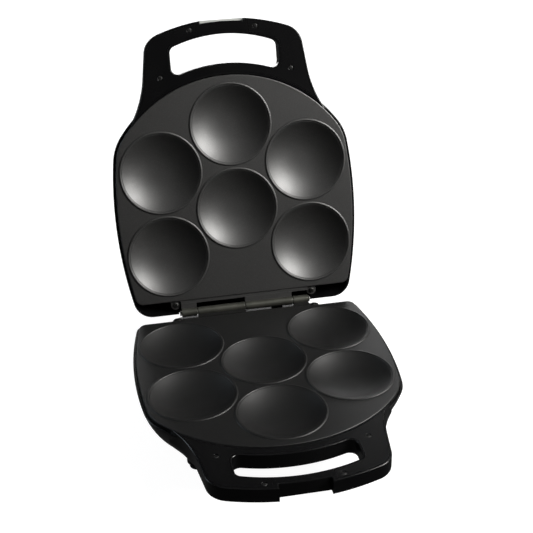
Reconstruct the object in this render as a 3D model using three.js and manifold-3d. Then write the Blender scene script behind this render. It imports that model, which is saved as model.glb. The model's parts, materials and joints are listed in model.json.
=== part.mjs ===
// A hinged electric cake and arepa maker that bakes six round pieces between two non-stick cast plates.
// It stands open: the lid leans back on its stop, and the latch is folded back on the lid's handle.
//
// Both halves are drawn in the same "half frame": x across, y from the handle (-y) to the hinge (+y),
// z = 0 on the plane where the closed halves meet and z < 0 into the half's own housing.
// The base is placed as drawn. The lid is turned over about y, then swung open about the hinge pin.
// Units are millimetres, +z is up and the worktop is z = 0.

import * as THREE from "three";
import { mergeVertices } from "three/addons/utils/BufferGeometryUtils.js";
import Module from "manifold-3d";

const wasm = await Module();
wasm.setup();

// ---------------------------------------------------------------- driving dimensions

const OPEN_ANGLE = 106; // degrees from closed to the lid's stop

const CAVITY_R = 40; // radius of one round cavity at its lip
const CAVITY_DEPTH = 11; // depth of a cavity below the plate's face
const CAVITY_POWER = 2.4; // how flat the cavity's floor is
const CAVITY_LAND = 4.2; // half of the metal between two neighbouring cavities
const BEAD_IN = 0.6; // from the cavity's lip to the raised bead
const BEAD_WIDTH = 2.8;
const BEAD_HEIGHT = 0.8;

const FACE_GAP = 1; // from the meeting plane to a plate's face
const SIDE_MARGIN = 8.4; // metal outside the outer cavities, at the plate's side
const FRONT_MARGIN = 10.6; // the same at its front
const REAR_MARGIN = 9.3; // the same at its hinge edge
const SIDE_ARC_R = 430;
const SIDE_ARC_Y = -2; // where the plate is widest
const SHOULDER_R = 50; // round between the side and the front
const PLATE_CORNER_R = 8; // round at the hinge edge
const PLATE_SKIN = 3; // thickness of the casting
const PLATE_SKIRT = 4.3; // height of the plate's edge

const HINGE_REACH = 12.7; // from the plate's hinge edge to the pin's axis
const KNUCKLE_R = 4.5;
const KNUCKLE_LONG = 51.3;
const KNUCKLE_SHORT = 16.4;
const KNUCKLE_GAP = 0.6;
const PIN_R = 2;
const PIN_HEAD = 1.2;
const BORE_CLEARANCE = 0.15;
const LUG_X = 74; // screw lugs of the plate, beside the hinge
const LUG_OUT = 4.5; // how far the lug's hole lies behind the plate's edge
const LUG_R = 5;
const LUG_DROP = 2.6; // lug's top face below the plate's face
const LUG_T = 2.4;

const WALL = 2.4; // moulded wall
const FIT = 0.3; // gap between two pieces that touch
const RIM_OVER = 3; // housing's rim outside the plate's edge
const RIM_DROP = 4.3; // rim below the meeting plane
const SHELL_DEPTH = 44; // housing's depth below the meeting plane
const CROWN = 32; // how far the housing draws in from rim to crown
const CROWN_POWER = 1.2;
const HOOD = 12; // how far the lid's housing covers the hinge, behind the rim
const HOOD_CORNER_R = 17;
const HOOD_NOTCH = 8.4; // height of the lid's cut-out for the hinge

const HANDLE_T = 16.5; // thickness of one half of the handle
const HANDLE_FACE = 1; // handle's face below the meeting plane
const HANDLE_ROOT_T = 26; // thickness where the handle grows out of the housing
const REAR_BAR = 12; // from the plate's front edge to the finger slot
const SLOT_GAP = 29.5;
const FRONT_BAR = 15.5;
const SLOT_HALF = 56;
const SLOT_ARC_R = 147;
const SLOT_CORNER_R = 7;
const HANDLE_ARC_R = 200;
const HANDLE_HALF = 85.5; // half width a finger's width in front of the housing
const HANDLE_TAPER = 8; // degrees
const HANDLE_CORNER_R = 22;
const HANDLE_FLARE_R = 110;
const HANDLE_HALF_FROM = 1; // from the plate's front edge to where HANDLE_HALF is measured
const HANDLE_FLARE_IN = 47; // how far the flared sides run back beside the plate
const HANDLE_DEEP_FROM = 4; // from the plate's front edge back to where the handle starts to deepen
const HANDLE_DEEP_RUN = 31; // length over which it deepens to its root
const COVER_T = 2.6;
const COVER_POST_R = 3;
const FRONT_SCREW_OUT = 6.5; // from the front bar's solid part out to the cover's front screws
const FRONT_SCREW_IN = 5.58; // from the finger slot to the same screws
const LATCH_NOTCH_HALF = 23;
const LATCH_NOTCH_DEEP = 6;
const LATCH_CHEEK = 4.5; // solid part of the front bar on each side of the notch, for the latch's pin

const LATCH_ANGLE = 195; // degrees from folded back to latched
const LATCH_BARREL_R = 2.4;
const LATCH_AXIS_Z = -9;
const LATCH_AXIS_OUT = 2.6; // from the base notch's floor out to the pin
const LATCH_ARM_OUT = 1.8; // from the pin out to the arm's inner face
const LATCH_ARM_T = 2.2;
const LATCH_HOOK_T = 2.5;
const LATCH_HOOK = 1.7; // how far the hook reaches under the base's handle
const LATCH_LIP = 3; // lip of the lid's handle in front of the barrel
const LATCH_LIP_T = 2.6;
const LATCH_PIN_R = 1;
const LATCH_SIDE_GAP = 0.8;
const LATCH_LIFT = 0.4; // play between the hook and the base's handle

// Screws: radius of the shank, radius and height of the head, length below the head.
const COVER_SCREW = { shank: 1.1, head: 2.4, high: 1.1, long: 9 };
const PLATE_SCREW = { shank: 1.35, head: 3.2, high: 1.8, long: 9.5 };
const REFLECTOR_SCREW = { shank: 1.4, head: 3, high: 1.8, long: 7 };
const FOOT_SCREW = { shank: 1.3, head: 3.4, high: 1.6, long: 7.5 };
const PILOT = 0.15; // how much wider a drilled hole is than its screw
const THROUGH = 0.4; // the same where the screw passes freely
const COUNTERBORE_DEEP = 1.5;
const COUNTERBORE_GAP = 0.3;
const BOSS = 0.8; // lug posts are this much wider than the lugs

const BLOCK_HALF = 81; // moulded block behind the base, under the hinge
const BLOCK_REACH = 22.5; // from the base's rim to the block's back
const BLOCK_TOP = -12;
const BLOCK_CORNER_R = 14;
const STOP_X = 36; // ribs that the opened lid's back leans on
const STOP_W = 12;
const STOP_TOP = -3.6;

const FOOT_H = 6;
const FOOT_R = 8;
const FOOT_SEAT = 3; // from the worktop to the screw's seat in the foot
const FOOT_BOSS = 1.5; // the housing's bosses are this much wider than the feet
const FOOT_BOSS_H = 6.4;
const FRONT_FOOT_X = 80;
const FRONT_FOOT_Y = -88;
const REAR_FOOT_X = 58;
const REAR_FOOT_IN = 15; // from the block's back to the rear feet

const GLAND_X = -44;
const GLAND_R = 5;
const ELEMENT_R = 3.2;
const ELEMENT_IN = 6; // inside the ring of cavity centres
const REFLECTOR_T = 0.8;
const REFLECTOR_INSET = 15;
const POST_R = 3.6;
const LENS_R = 4;
const LENS_X = 14;
const LENS_Y = -96;

const SEG = 20; // facets round a cavity
const SMALL_SEG = 10; // facets round small turned pieces

// ---------------------------------------------------------------- sizes that follow

const PITCH = 2 * (CAVITY_R + CAVITY_LAND);
const CAVITY_CENTRES = [[0, 0]].concat(
  [30, 150, 210, 270, 330].map((a) => polar(PITCH, a)),
);
const PLATE_HALF = PITCH * Math.cos(rad(30)) + CAVITY_R + SIDE_MARGIN;
const PLATE_FRONT_R = PITCH + CAVITY_R + FRONT_MARGIN;
const PLATE_REAR = PITCH / 2 + CAVITY_R + REAR_MARGIN;
const HINGE_Y = PLATE_REAR + HINGE_REACH;
const RIM_REAR = PLATE_REAR + RIM_OVER;
const HOOD_REAR = RIM_REAR + HOOD;
const PLATE_TOP = -FACE_GAP;
const PLATE_UNDER = PLATE_TOP - PLATE_SKIN;
const DISH_UNDER = PLATE_UNDER - CAVITY_DEPTH;
const HANDLE_TOP = -HANDLE_FACE;
const HANDLE_BOTTOM = -HANDLE_T;
const SLOT_REAR = PLATE_FRONT_R + REAR_BAR;
const SLOT_FRONT = SLOT_REAR + SLOT_GAP;
const HANDLE_FRONT = SLOT_FRONT + FRONT_BAR;
const HANDLE_ARC_Y = HANDLE_ARC_R - HANDLE_FRONT;
const BLOCK_REAR = RIM_REAR + BLOCK_REACH;
const REAR_FOOT_Y = BLOCK_REAR - REAR_FOOT_IN;
const PART_Z = SHELL_DEPTH + FOOT_H;
const LUG_Y = PLATE_REAR + LUG_OUT;
const LUG_TOP = PLATE_TOP - LUG_DROP;
const LUG_BOTTOM = LUG_TOP - LUG_T;
const ELEMENT_Z = DISH_UNDER - FIT - ELEMENT_R;
const REFLECTOR_TOP = ELEMENT_Z - ELEMENT_R - 2 * FIT;
const PIN_HALF = KNUCKLE_LONG + KNUCKLE_GAP * 1.5 + KNUCKLE_SHORT + FIT;
const LATCH_SOLID_HALF = LATCH_NOTCH_HALF + LATCH_CHEEK;
const NOTCH_FLOOR_Y = LATCH_NOTCH_DEEP - HANDLE_FRONT;
const LATCH_Y = NOTCH_FLOOR_Y - LATCH_AXIS_OUT;
const POSTS = [90, 240, 300].map((a) => polar(PITCH / Math.sqrt(3), a));
// Screws that hold the handle's cover: two at its shoulders, two in its front bar.
const COVER_SCREWS = [
  [68, -(PLATE_FRONT_R + 2)],
  [-68, -(PLATE_FRONT_R + 2)],
  [LATCH_SOLID_HALF + FRONT_SCREW_OUT, -(SLOT_FRONT + FRONT_SCREW_IN)],
  [-LATCH_SOLID_HALF - FRONT_SCREW_OUT, -(SLOT_FRONT + FRONT_SCREW_IN)],
];

function rad(degrees) {
  return (degrees * Math.PI) / 180;
}

function polar(r, degrees) {
  return [r * Math.cos(rad(degrees)), r * Math.sin(rad(degrees))];
}

// ---------------------------------------------------------------- solids

// A closed three.js geometry as a manifold-3d solid whose faces point outwards.
function solid(geometry) {
  const bare = new THREE.BufferGeometry();
  bare.setAttribute("position", geometry.getAttribute("position"));
  if (geometry.index) bare.setIndex(geometry.index);
  const merged = mergeVertices(bare, 1e-4);
  const index = merged.index.array;
  const faces = [];
  for (let i = 0; i < index.length; i += 3) {
    const [a, b, c] = [index[i], index[i + 1], index[i + 2]];
    if (a !== b && b !== c && a !== c) faces.push(a, b, c);
  }
  const build = (triVerts) =>
    new wasm.Manifold(
      new wasm.Mesh({
        numProp: 3,
        vertProperties: merged.attributes.position.array,
        triVerts: new Uint32Array(triVerts),
      }),
    );
  const made = build(faces);
  if (made.volume() > 0) return made;
  for (let i = 0; i < faces.length; i += 3)
    [faces[i], faces[i + 1]] = [faces[i + 1], faces[i]];
  return build(faces);
}

function geometryOf(manifold) {
  const mesh = manifold.getMesh();
  const flat = new Float32Array(mesh.numVert * 3);
  for (let i = 0; i < mesh.numVert; i++)
    flat.set(
      mesh.vertProperties.subarray(i * mesh.numProp, i * mesh.numProp + 3),
      i * 3,
    );
  const geometry = new THREE.BufferGeometry();
  geometry.setAttribute("position", new THREE.BufferAttribute(flat, 3));
  geometry.setIndex(new THREE.BufferAttribute(mesh.triVerts, 1));
  geometry.computeVertexNormals();
  return geometry;
}

function union(...solids) {
  return solids.reduce((a, b) => a.add(b));
}

// Upright prism over an outline of [x, y] points.
function prism(points, low, high) {
  const shape = new THREE.Shape(points.map((p) => new THREE.Vector2(...p)));
  const extruded = new THREE.ExtrudeGeometry(shape, {
    depth: high - low,
    bevelEnabled: false,
  });
  return solid(extruded.translate(0, 0, low));
}

// Prism over an outline of [y, z] points, lying along x.
function crossPrism(points, x0, x1) {
  const shape = new THREE.Shape(points.map((p) => new THREE.Vector2(...p)));
  const extruded = new THREE.ExtrudeGeometry(shape, {
    depth: x1 - x0,
    bevelEnabled: false,
  });
  extruded.applyMatrix4(
    new THREE.Matrix4().makeBasis(
      new THREE.Vector3(0, 1, 0),
      new THREE.Vector3(0, 0, 1),
      new THREE.Vector3(1, 0, 0),
    ),
  );
  return solid(extruded.translate(x0, 0, 0));
}

function box(x0, x1, y0, y1, z0, z1) {
  const geometry = new THREE.BoxGeometry(x1 - x0, y1 - y0, z1 - z0);
  return solid(
    geometry.translate((x0 + x1) / 2, (y0 + y1) / 2, (z0 + z1) / 2),
  );
}

// Turned solid: profile of [radius, z] points about a vertical axis through (x, y).
function turned(profile, x = 0, y = 0, segments = SMALL_SEG) {
  const lathe = new THREE.LatheGeometry(
    profile.map((p) => new THREE.Vector2(...p)),
    segments,
  );
  return solid(lathe.rotateX(Math.PI / 2).translate(x, y, 0));
}

function cylinder(r, low, high, x = 0, y = 0, segments = SMALL_SEG) {
  return turned([[0, low], [r, low], [r, high], [0, high]], x, y, segments);
}

// Cylinder along x.
function crossCylinder(r, x0, x1, y, z, segments = SMALL_SEG) {
  const geometry = new THREE.CylinderGeometry(r, r, x1 - x0, segments);
  return solid(
    geometry.rotateZ(Math.PI / 2).translate((x0 + x1) / 2, y, z),
  );
}

// Closed skin over a stack of rings that hold the same number of points.
function loft(rings) {
  const n = rings[0].length;
  const centre = (ring) =>
    ring
      .reduce((s, p) => [s[0] + p[0], s[1] + p[1], s[2] + p[2]], [0, 0, 0])
      .map((v) => v / n);
  const points = rings.flat();
  const low = points.push(centre(rings[0])) - 1;
  const high = points.push(centre(rings.at(-1))) - 1;
  const faces = [];
  for (let k = 0; k + 1 < rings.length; k++)
    for (let i = 0; i < n; i++) {
      const [a, b] = [k * n + i, k * n + ((i + 1) % n)];
      faces.push(a, b, b + n, a, b + n, a + n);
    }
  const top = (rings.length - 1) * n;
  for (let i = 0; i < n; i++) {
    const j = (i + 1) % n;
    faces.push(low, j, i, high, top + i, top + j);
  }
  const geometry = new THREE.BufferGeometry();
  geometry.setAttribute(
    "position",
    new THREE.Float32BufferAttribute(points.flat(), 3),
  );
  geometry.setIndex(faces);
  return solid(geometry);
}

// ---------------------------------------------------------------- outlines

function arc(cx, cy, r, from, to, steps) {
  return Array.from({ length: steps + 1 }, (_, i) => {
    const a = from + ((to - from) * i) / steps;
    return [cx + r * Math.cos(a), cy + r * Math.sin(a)];
  });
}

// The right half of an outline, from the hinge edge to the front, closed with its mirror image.
function mirrored(right) {
  const left = right
    .filter((p) => Math.abs(p[0]) > 1e-6)
    .map(([x, y]) => [-x, y])
    .reverse();
  return right.concat(left);
}

// Outline of a plate, or of a housing's rim: hinge edge, bulging sides and a front that is
// an arc about the centre cavity. The rear line and its corner can be set for the lid's hood.
function bodyOutline(grow, rear = PLATE_REAR, corner = PLATE_CORNER_R) {
  const sideX = PLATE_HALF - SIDE_ARC_R;
  const cornerY = rear - corner;
  const cornerX =
    sideX + Math.sqrt((SIDE_ARC_R - corner) ** 2 - (cornerY - SIDE_ARC_Y) ** 2);
  const sideTop = Math.atan2(cornerY - SIDE_ARC_Y, cornerX - sideX);

  // The shoulder touches the side arc and the front arc from inside.
  const reachSide = SIDE_ARC_R - SHOULDER_R;
  const reachFront = PLATE_FRONT_R - SHOULDER_R;
  const apart = Math.hypot(sideX, SIDE_ARC_Y);
  const along = (reachFront ** 2 - reachSide ** 2 + apart ** 2) / (2 * apart);
  const across = Math.sqrt(reachFront ** 2 - along ** 2);
  const [ux, uy] = [sideX / apart, SIDE_ARC_Y / apart];
  const shoulderX = ux * along - uy * across;
  const shoulderY = uy * along + ux * across;
  const toSide = Math.atan2(shoulderY - SIDE_ARC_Y, shoulderX - sideX);
  const toFront = Math.atan2(shoulderY, shoulderX);

  const right = [
    ...arc(cornerX, cornerY, corner + grow, Math.PI / 2, sideTop, 4),
    ...arc(sideX, SIDE_ARC_Y, SIDE_ARC_R + grow, sideTop, toSide, 7).slice(1),
    ...arc(shoulderX, shoulderY, SHOULDER_R + grow, toSide, toFront, 4).slice(1),
    ...arc(0, 0, PLATE_FRONT_R + grow, toFront, -Math.PI / 2, 6).slice(1),
  ];
  right[right.length - 1][0] = 0;
  return mirrored(right);
}

// Outline of the handle from inside the housing to its front, drawn in by "inset".
function handleOutline(inset) {
  const taper = rad(HANDLE_TAPER);
  const sideY = -(PLATE_FRONT_R + HANDLE_HALF_FROM);
  const normal = [Math.cos(taper), -Math.sin(taper)];
  const flareX = HANDLE_HALF + HANDLE_FLARE_R * normal[0];
  const flareY = sideY + HANDLE_FLARE_R * normal[1];
  const rootAngle = Math.asin(
    (HANDLE_FLARE_IN - PLATE_FRONT_R - flareY) / HANDLE_FLARE_R,
  );
  // Corner: touches the tapered side and, from inside, the front arc.
  const start = [
    HANDLE_HALF - HANDLE_CORNER_R * normal[0],
    sideY - HANDLE_CORNER_R * normal[1],
  ];
  const forward = [-Math.sin(taper), -Math.cos(taper)];
  const reach = HANDLE_ARC_R - HANDLE_CORNER_R;
  const offset = [start[0], start[1] - HANDLE_ARC_Y];
  const b = offset[0] * forward[0] + offset[1] * forward[1];
  const c = offset[0] ** 2 + offset[1] ** 2 - reach ** 2;
  const run = -b + Math.sqrt(b * b - c);
  const cornerX = start[0] + forward[0] * run;
  const cornerY = start[1] + forward[1] * run;
  const frontAngle = Math.atan2(cornerY - HANDLE_ARC_Y, cornerX);
  const right = [
    ...arc(
      flareX,
      flareY,
      HANDLE_FLARE_R + inset,
      Math.PI - rootAngle,
      Math.PI - taper,
      5,
    ),
    ...arc(cornerX, cornerY, HANDLE_CORNER_R - inset, -taper, frontAngle, 6),
    ...arc(
      0,
      HANDLE_ARC_Y,
      HANDLE_ARC_R - inset,
      frontAngle,
      -Math.PI / 2,
      6,
    ).slice(1),
  ];
  right[right.length - 1][0] = 0;
  return mirrored(right);
}

// Finger slot of the handle: two arcs and two straight ends, enlarged by "grow".
function slotOutline(grow) {
  const frontY = SLOT_ARC_R - SLOT_FRONT;
  const rearY = SLOT_ARC_R - SLOT_REAR;
  const x = SLOT_HALF - SLOT_CORNER_R;
  const near = SLOT_ARC_R + SLOT_CORNER_R;
  const far = SLOT_ARC_R - SLOT_CORNER_R;
  const rearCorner = rearY - Math.sqrt(near ** 2 - x ** 2);
  const frontCorner = frontY - Math.sqrt(far ** 2 - x ** 2);
  const rearAngle = Math.atan2(rearCorner - rearY, x);
  const frontAngle = Math.atan2(frontCorner - frontY, x);
  const r = SLOT_CORNER_R + grow;
  const right = [
    ...arc(0, rearY, SLOT_ARC_R - grow, -Math.PI / 2, rearAngle, 5),
    ...arc(x, rearCorner, r, rearAngle + Math.PI, 0, 4).slice(1),
    ...arc(x, frontCorner, r, 0, frontAngle, 4),
    ...arc(0, frontY, SLOT_ARC_R + grow, frontAngle, -Math.PI / 2, 5).slice(1),
  ];
  right[0][0] = 0;
  right[right.length - 1][0] = 0;
  return mirrored(right);
}

// Cut-out for the latch in the handle's front.
function latchNotch(deep) {
  const half = LATCH_NOTCH_HALF;
  const r = HANDLE_ARC_R - deep;
  const spread = Math.asin(half / r);
  const front = -HANDLE_FRONT - 10;
  return [
    [-half, front],
    ...arc(0, HANDLE_ARC_Y, r, -Math.PI / 2 - spread, -Math.PI / 2 + spread, 6),
    [half, front],
  ];
}

// ---------------------------------------------------------------- housings

// Distance that a housing's wall has drawn in at depth share t (0 at the rim, 1 at the crown).
function drawIn(t) {
  return CROWN * (1 - Math.sqrt(Math.max(0, 1 - t ** CROWN_POWER)));
}

// The bowl of a housing as a closed solid. "thin" draws every wall in, for the hollow inside it.
function bowl(rear, corner, thin, top) {
  const outline = bodyOutline(RIM_OVER - thin, rear, corner);
  const midY = (rear - PLATE_FRONT_R) / 2;
  const halfX = PLATE_HALF + RIM_OVER - thin;
  const halfY = rear + RIM_OVER - thin - midY;
  const depth = SHELL_DEPTH - thin;
  const ring = (z, inset) =>
    outline.map(([x, y]) => [
      x * (1 - inset / halfX),
      midY + (y - midY) * (1 - inset / halfY),
      z,
    ]);
  const shares = [1, 0.96, 0.84, 0.62, 0.34, 0];
  const rings = shares.map((t) =>
    ring(-RIM_DROP - t * (depth - RIM_DROP), drawIn(t)),
  );
  if (top > -RIM_DROP) rings.push(ring(top, 0));
  return loft(rings);
}

// How far along its root the handle has deepened at y: 0 in front, 1 inside the housing.
function rootShare(y) {
  const share = (y + PLATE_FRONT_R - HANDLE_DEEP_FROM) / HANDLE_DEEP_RUN;
  return Math.min(1, Math.max(0, share));
}

// Solid of the handle's outer form. Its underside deepens at the root, and there its sides draw in
// with depth as the bowl's do, so that they run into the bowl.
function handleBlock() {
  const outline = handleOutline(0);
  const bowlDraw = (deep) =>
    drawIn((deep - RIM_DROP) / (SHELL_DEPTH - RIM_DROP));
  const level = (deep) => {
    const drawn = bowlDraw(Math.max(deep, HANDLE_T)) - bowlDraw(HANDLE_T);
    return outline.map(([x, y]) => [
      x - Math.sign(x) * drawn * rootShare(y),
      y,
      -deep,
    ]);
  };
  const lowest = HANDLE_ROOT_T + 1;
  const between = (HANDLE_T + lowest) / 2;
  const form = loft([lowest, between, HANDLE_T, HANDLE_FACE].map(level));
  const front = -HANDLE_FRONT - 5;
  const root = -PLATE_FRONT_R + HANDLE_FLARE_IN + 1;
  const at = (share) => -PLATE_FRONT_R + HANDLE_DEEP_FROM + share * HANDLE_DEEP_RUN;
  const deepens = HANDLE_ROOT_T - HANDLE_T;
  const side = [
    [root, HANDLE_TOP + 1],
    [root, -HANDLE_ROOT_T],
    [at(1), -HANDLE_ROOT_T],
    [at(0.7), HANDLE_BOTTOM - 0.78 * deepens],
    [at(0.3), HANDLE_BOTTOM - 0.22 * deepens],
    [at(0), HANDLE_BOTTOM],
    [front, HANDLE_BOTTOM],
    [front, HANDLE_TOP + 1],
  ];
  return form.intersect(crossPrism(side, -PLATE_HALF, PLATE_HALF));
}

// Room inside the handle, from its floor to the top of its cover.
function handleChannel(extra) {
  const floor = HANDLE_BOTTOM + WALL;
  return prism(handleOutline(WALL + extra), floor, HANDLE_TOP + 1)
    .subtract(bodyPrism(RIM_OVER + extra, floor - 1, HANDLE_TOP + 2))
    .subtract(prism(slotOutline(WALL + extra), floor - 1, HANDLE_TOP + 2))
    .subtract(solidBar(extra));
}

// Middle of the handle's front bar, which is solid to carry the latch and its catch.
function solidBar(extra) {
  const half = LATCH_SOLID_HALF + extra;
  const y = SLOT_ARC_R - SLOT_FRONT - Math.sqrt(SLOT_ARC_R ** 2 - half ** 2);
  return box(-half, half, -HANDLE_FRONT, y + 1, -HANDLE_ROOT_T, 1);
}

function bodyPrism(grow, low, high) {
  return prism(bodyOutline(grow), low, high);
}

// Housing with its half of the handle, before either half's own details.
function housing(rear, corner) {
  const outside = union(
    bowl(rear - RIM_OVER, corner, 0, -RIM_DROP),
    handleBlock(),
  );
  let shell = outside
    .subtract(bowl(rear - RIM_OVER, corner, WALL, HANDLE_TOP + 1))
    .subtract(handleChannel(0))
    .subtract(prism(slotOutline(0), -SHELL_DEPTH, HANDLE_TOP + 1));
  for (const [x, y] of COVER_SCREWS) {
    const floor = HANDLE_BOTTOM + WALL / 2;
    const top = HANDLE_TOP - COVER_T - FIT;
    const pilot = COVER_SCREW.shank + PILOT;
    shell = shell
      .add(cylinder(COVER_POST_R, floor, top, x, y))
      .subtract(cylinder(pilot, floor + WALL / 2, top + 1, x, y));
  }
  return shell;
}

// Round post under a plate's lug, and the pilot hole for the lug's screw.
function lugPost(x, low) {
  return cylinder(LUG_R + BOSS, low, LUG_BOTTOM - FIT, x, LUG_Y);
}

function lugPilot(x) {
  const pilot = PLATE_SCREW.shank + PILOT;
  return cylinder(pilot, LUG_BOTTOM - PLATE_SCREW.long - 4, 0, x, LUG_Y);
}

function baseShell() {
  const rearLine = (inset) => {
    const r = BLOCK_CORNER_R - inset;
    const x = BLOCK_HALF - BLOCK_CORNER_R;
    const y = BLOCK_REAR - BLOCK_CORNER_R;
    const right = [
      ...arc(x, y, r, Math.PI / 2, 0, 4),
      [BLOCK_HALF - inset, PLATE_REAR - 40],
    ];
    return mirrored(right);
  };
  const block = prism(rearLine(0), -SHELL_DEPTH, BLOCK_TOP);
  const blockRoom = prism(
    rearLine(WALL),
    -SHELL_DEPTH + WALL,
    BLOCK_TOP - WALL,
  );
  const stops = [STOP_X, -STOP_X].map((x) =>
    box(
      x - STOP_W / 2,
      x + STOP_W / 2,
      HINGE_Y + KNUCKLE_R + 0.7,
      BLOCK_REAR - 2,
      BLOCK_TOP - WALL / 2,
      STOP_TOP,
    ),
  );
  const posts = [LUG_X, -LUG_X].map((x) => lugPost(x, BLOCK_TOP - WALL));
  const room = bowl(PLATE_REAR, PLATE_CORNER_R, WALL, HANDLE_TOP + 1);
  let shell = housing(RIM_REAR, PLATE_CORNER_R)
    .add(block.subtract(room))
    .subtract(blockRoom);
  shell = union(shell, ...stops, ...posts);
  for (const x of [LUG_X, -LUG_X]) shell = shell.subtract(lugPilot(x));
  // The rear wall drops under the hinge strip, the knuckles' webs and the lugs.
  const clear = LUG_X + LUG_R + 1.5;
  shell = shell.subtract(
    box(-clear, clear, PLATE_REAR - 6, RIM_REAR + 0.01, LUG_BOTTOM - FIT, 0),
  );
  for (const [x, y] of footPlaces()) {
    const [low, high] = [-SHELL_DEPTH, -SHELL_DEPTH + FOOT_BOSS_H];
    const pilot = FOOT_SCREW.shank + PILOT;
    shell = shell
      .add(cylinder(FOOT_R + FOOT_BOSS, low, high, x, y, SEG))
      .subtract(cylinder(pilot, low - 1, high - 1, x, y));
  }
  // Notch that the latch's arm lies in, and the undercut that its hook goes behind.
  const half = LATCH_NOTCH_HALF;
  shell = shell
    .subtract(prism(latchNotch(LATCH_NOTCH_DEEP), -SHELL_DEPTH, 0))
    .subtract(
      box(
        -half,
        half,
        -HANDLE_FRONT,
        NOTCH_FLOOR_Y + LATCH_HOOK + 0.6,
        HANDLE_BOTTOM - 1,
        HANDLE_BOTTOM + LATCH_HOOK_T,
      ),
    );
  // Hole for the cord's gland.
  const gland = new THREE.CylinderGeometry(
    GLAND_R + FIT,
    GLAND_R + FIT,
    3 * WALL,
    16,
  ).translate(GLAND_X, BLOCK_REAR - WALL / 2, glandZ());
  return shell.subtract(solid(gland));
}

function glandZ() {
  return (BLOCK_TOP - SHELL_DEPTH) / 2;
}

function lidShell() {
  const clear = PIN_HALF + PIN_HEAD + 1;
  let shell = housing(HOOD_REAR, HOOD_CORNER_R);
  shell = shell
    .subtract(prism(latchNotch(LATCH_NOTCH_DEEP - LATCH_LIP), -SHELL_DEPTH, 0))
    .subtract(latchPocket());
  // The hood is cut out round the hinge barrel.
  shell = shell.subtract(
    box(-clear, clear, HINGE_Y - 4, HOOD_REAR + 1, -HOOD_NOTCH, 0),
  );
  const floor = -SHELL_DEPTH + WALL / 2;
  for (const x of [LUG_X, -LUG_X])
    shell = shell
      .add(
        lugPost(x, floor).intersect(
          bowl(HOOD_REAR - RIM_OVER, HOOD_CORNER_R, 0, -RIM_DROP),
        ),
      )
      .subtract(lugPilot(x));
  for (const x of [LENS_X, -LENS_X])
    shell = shell.subtract(
      cylinder(LENS_R + FIT, -SHELL_DEPTH - 1, -SHELL_DEPTH + 4, x, LENS_Y),
    );
  return shell;
}

// Flat cover of the handle's channel, flush with the handle's walls.
function handleCover() {
  let cover = handleChannel(FIT).intersect(
    box(
      -PLATE_HALF,
      PLATE_HALF,
      -HANDLE_FRONT - 5,
      0,
      HANDLE_TOP - COVER_T,
      HANDLE_TOP,
    ),
  );
  for (const [x, y] of COVER_SCREWS) {
    const [under, top] = [HANDLE_TOP - COVER_T - 1, HANDLE_TOP + 1];
    const headRoom = COVER_SCREW.head + COUNTERBORE_GAP;
    cover = cover
      .subtract(cylinder(COVER_SCREW.shank + THROUGH, under, top, x, y))
      .subtract(cylinder(headRoom, HANDLE_TOP - COUNTERBORE_DEEP, top, x, y));
  }
  return cover;
}

// ---------------------------------------------------------------- plates

function cavityDepth(r) {
  return CAVITY_DEPTH * (1 - (r / CAVITY_R) ** CAVITY_POWER);
}

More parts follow.
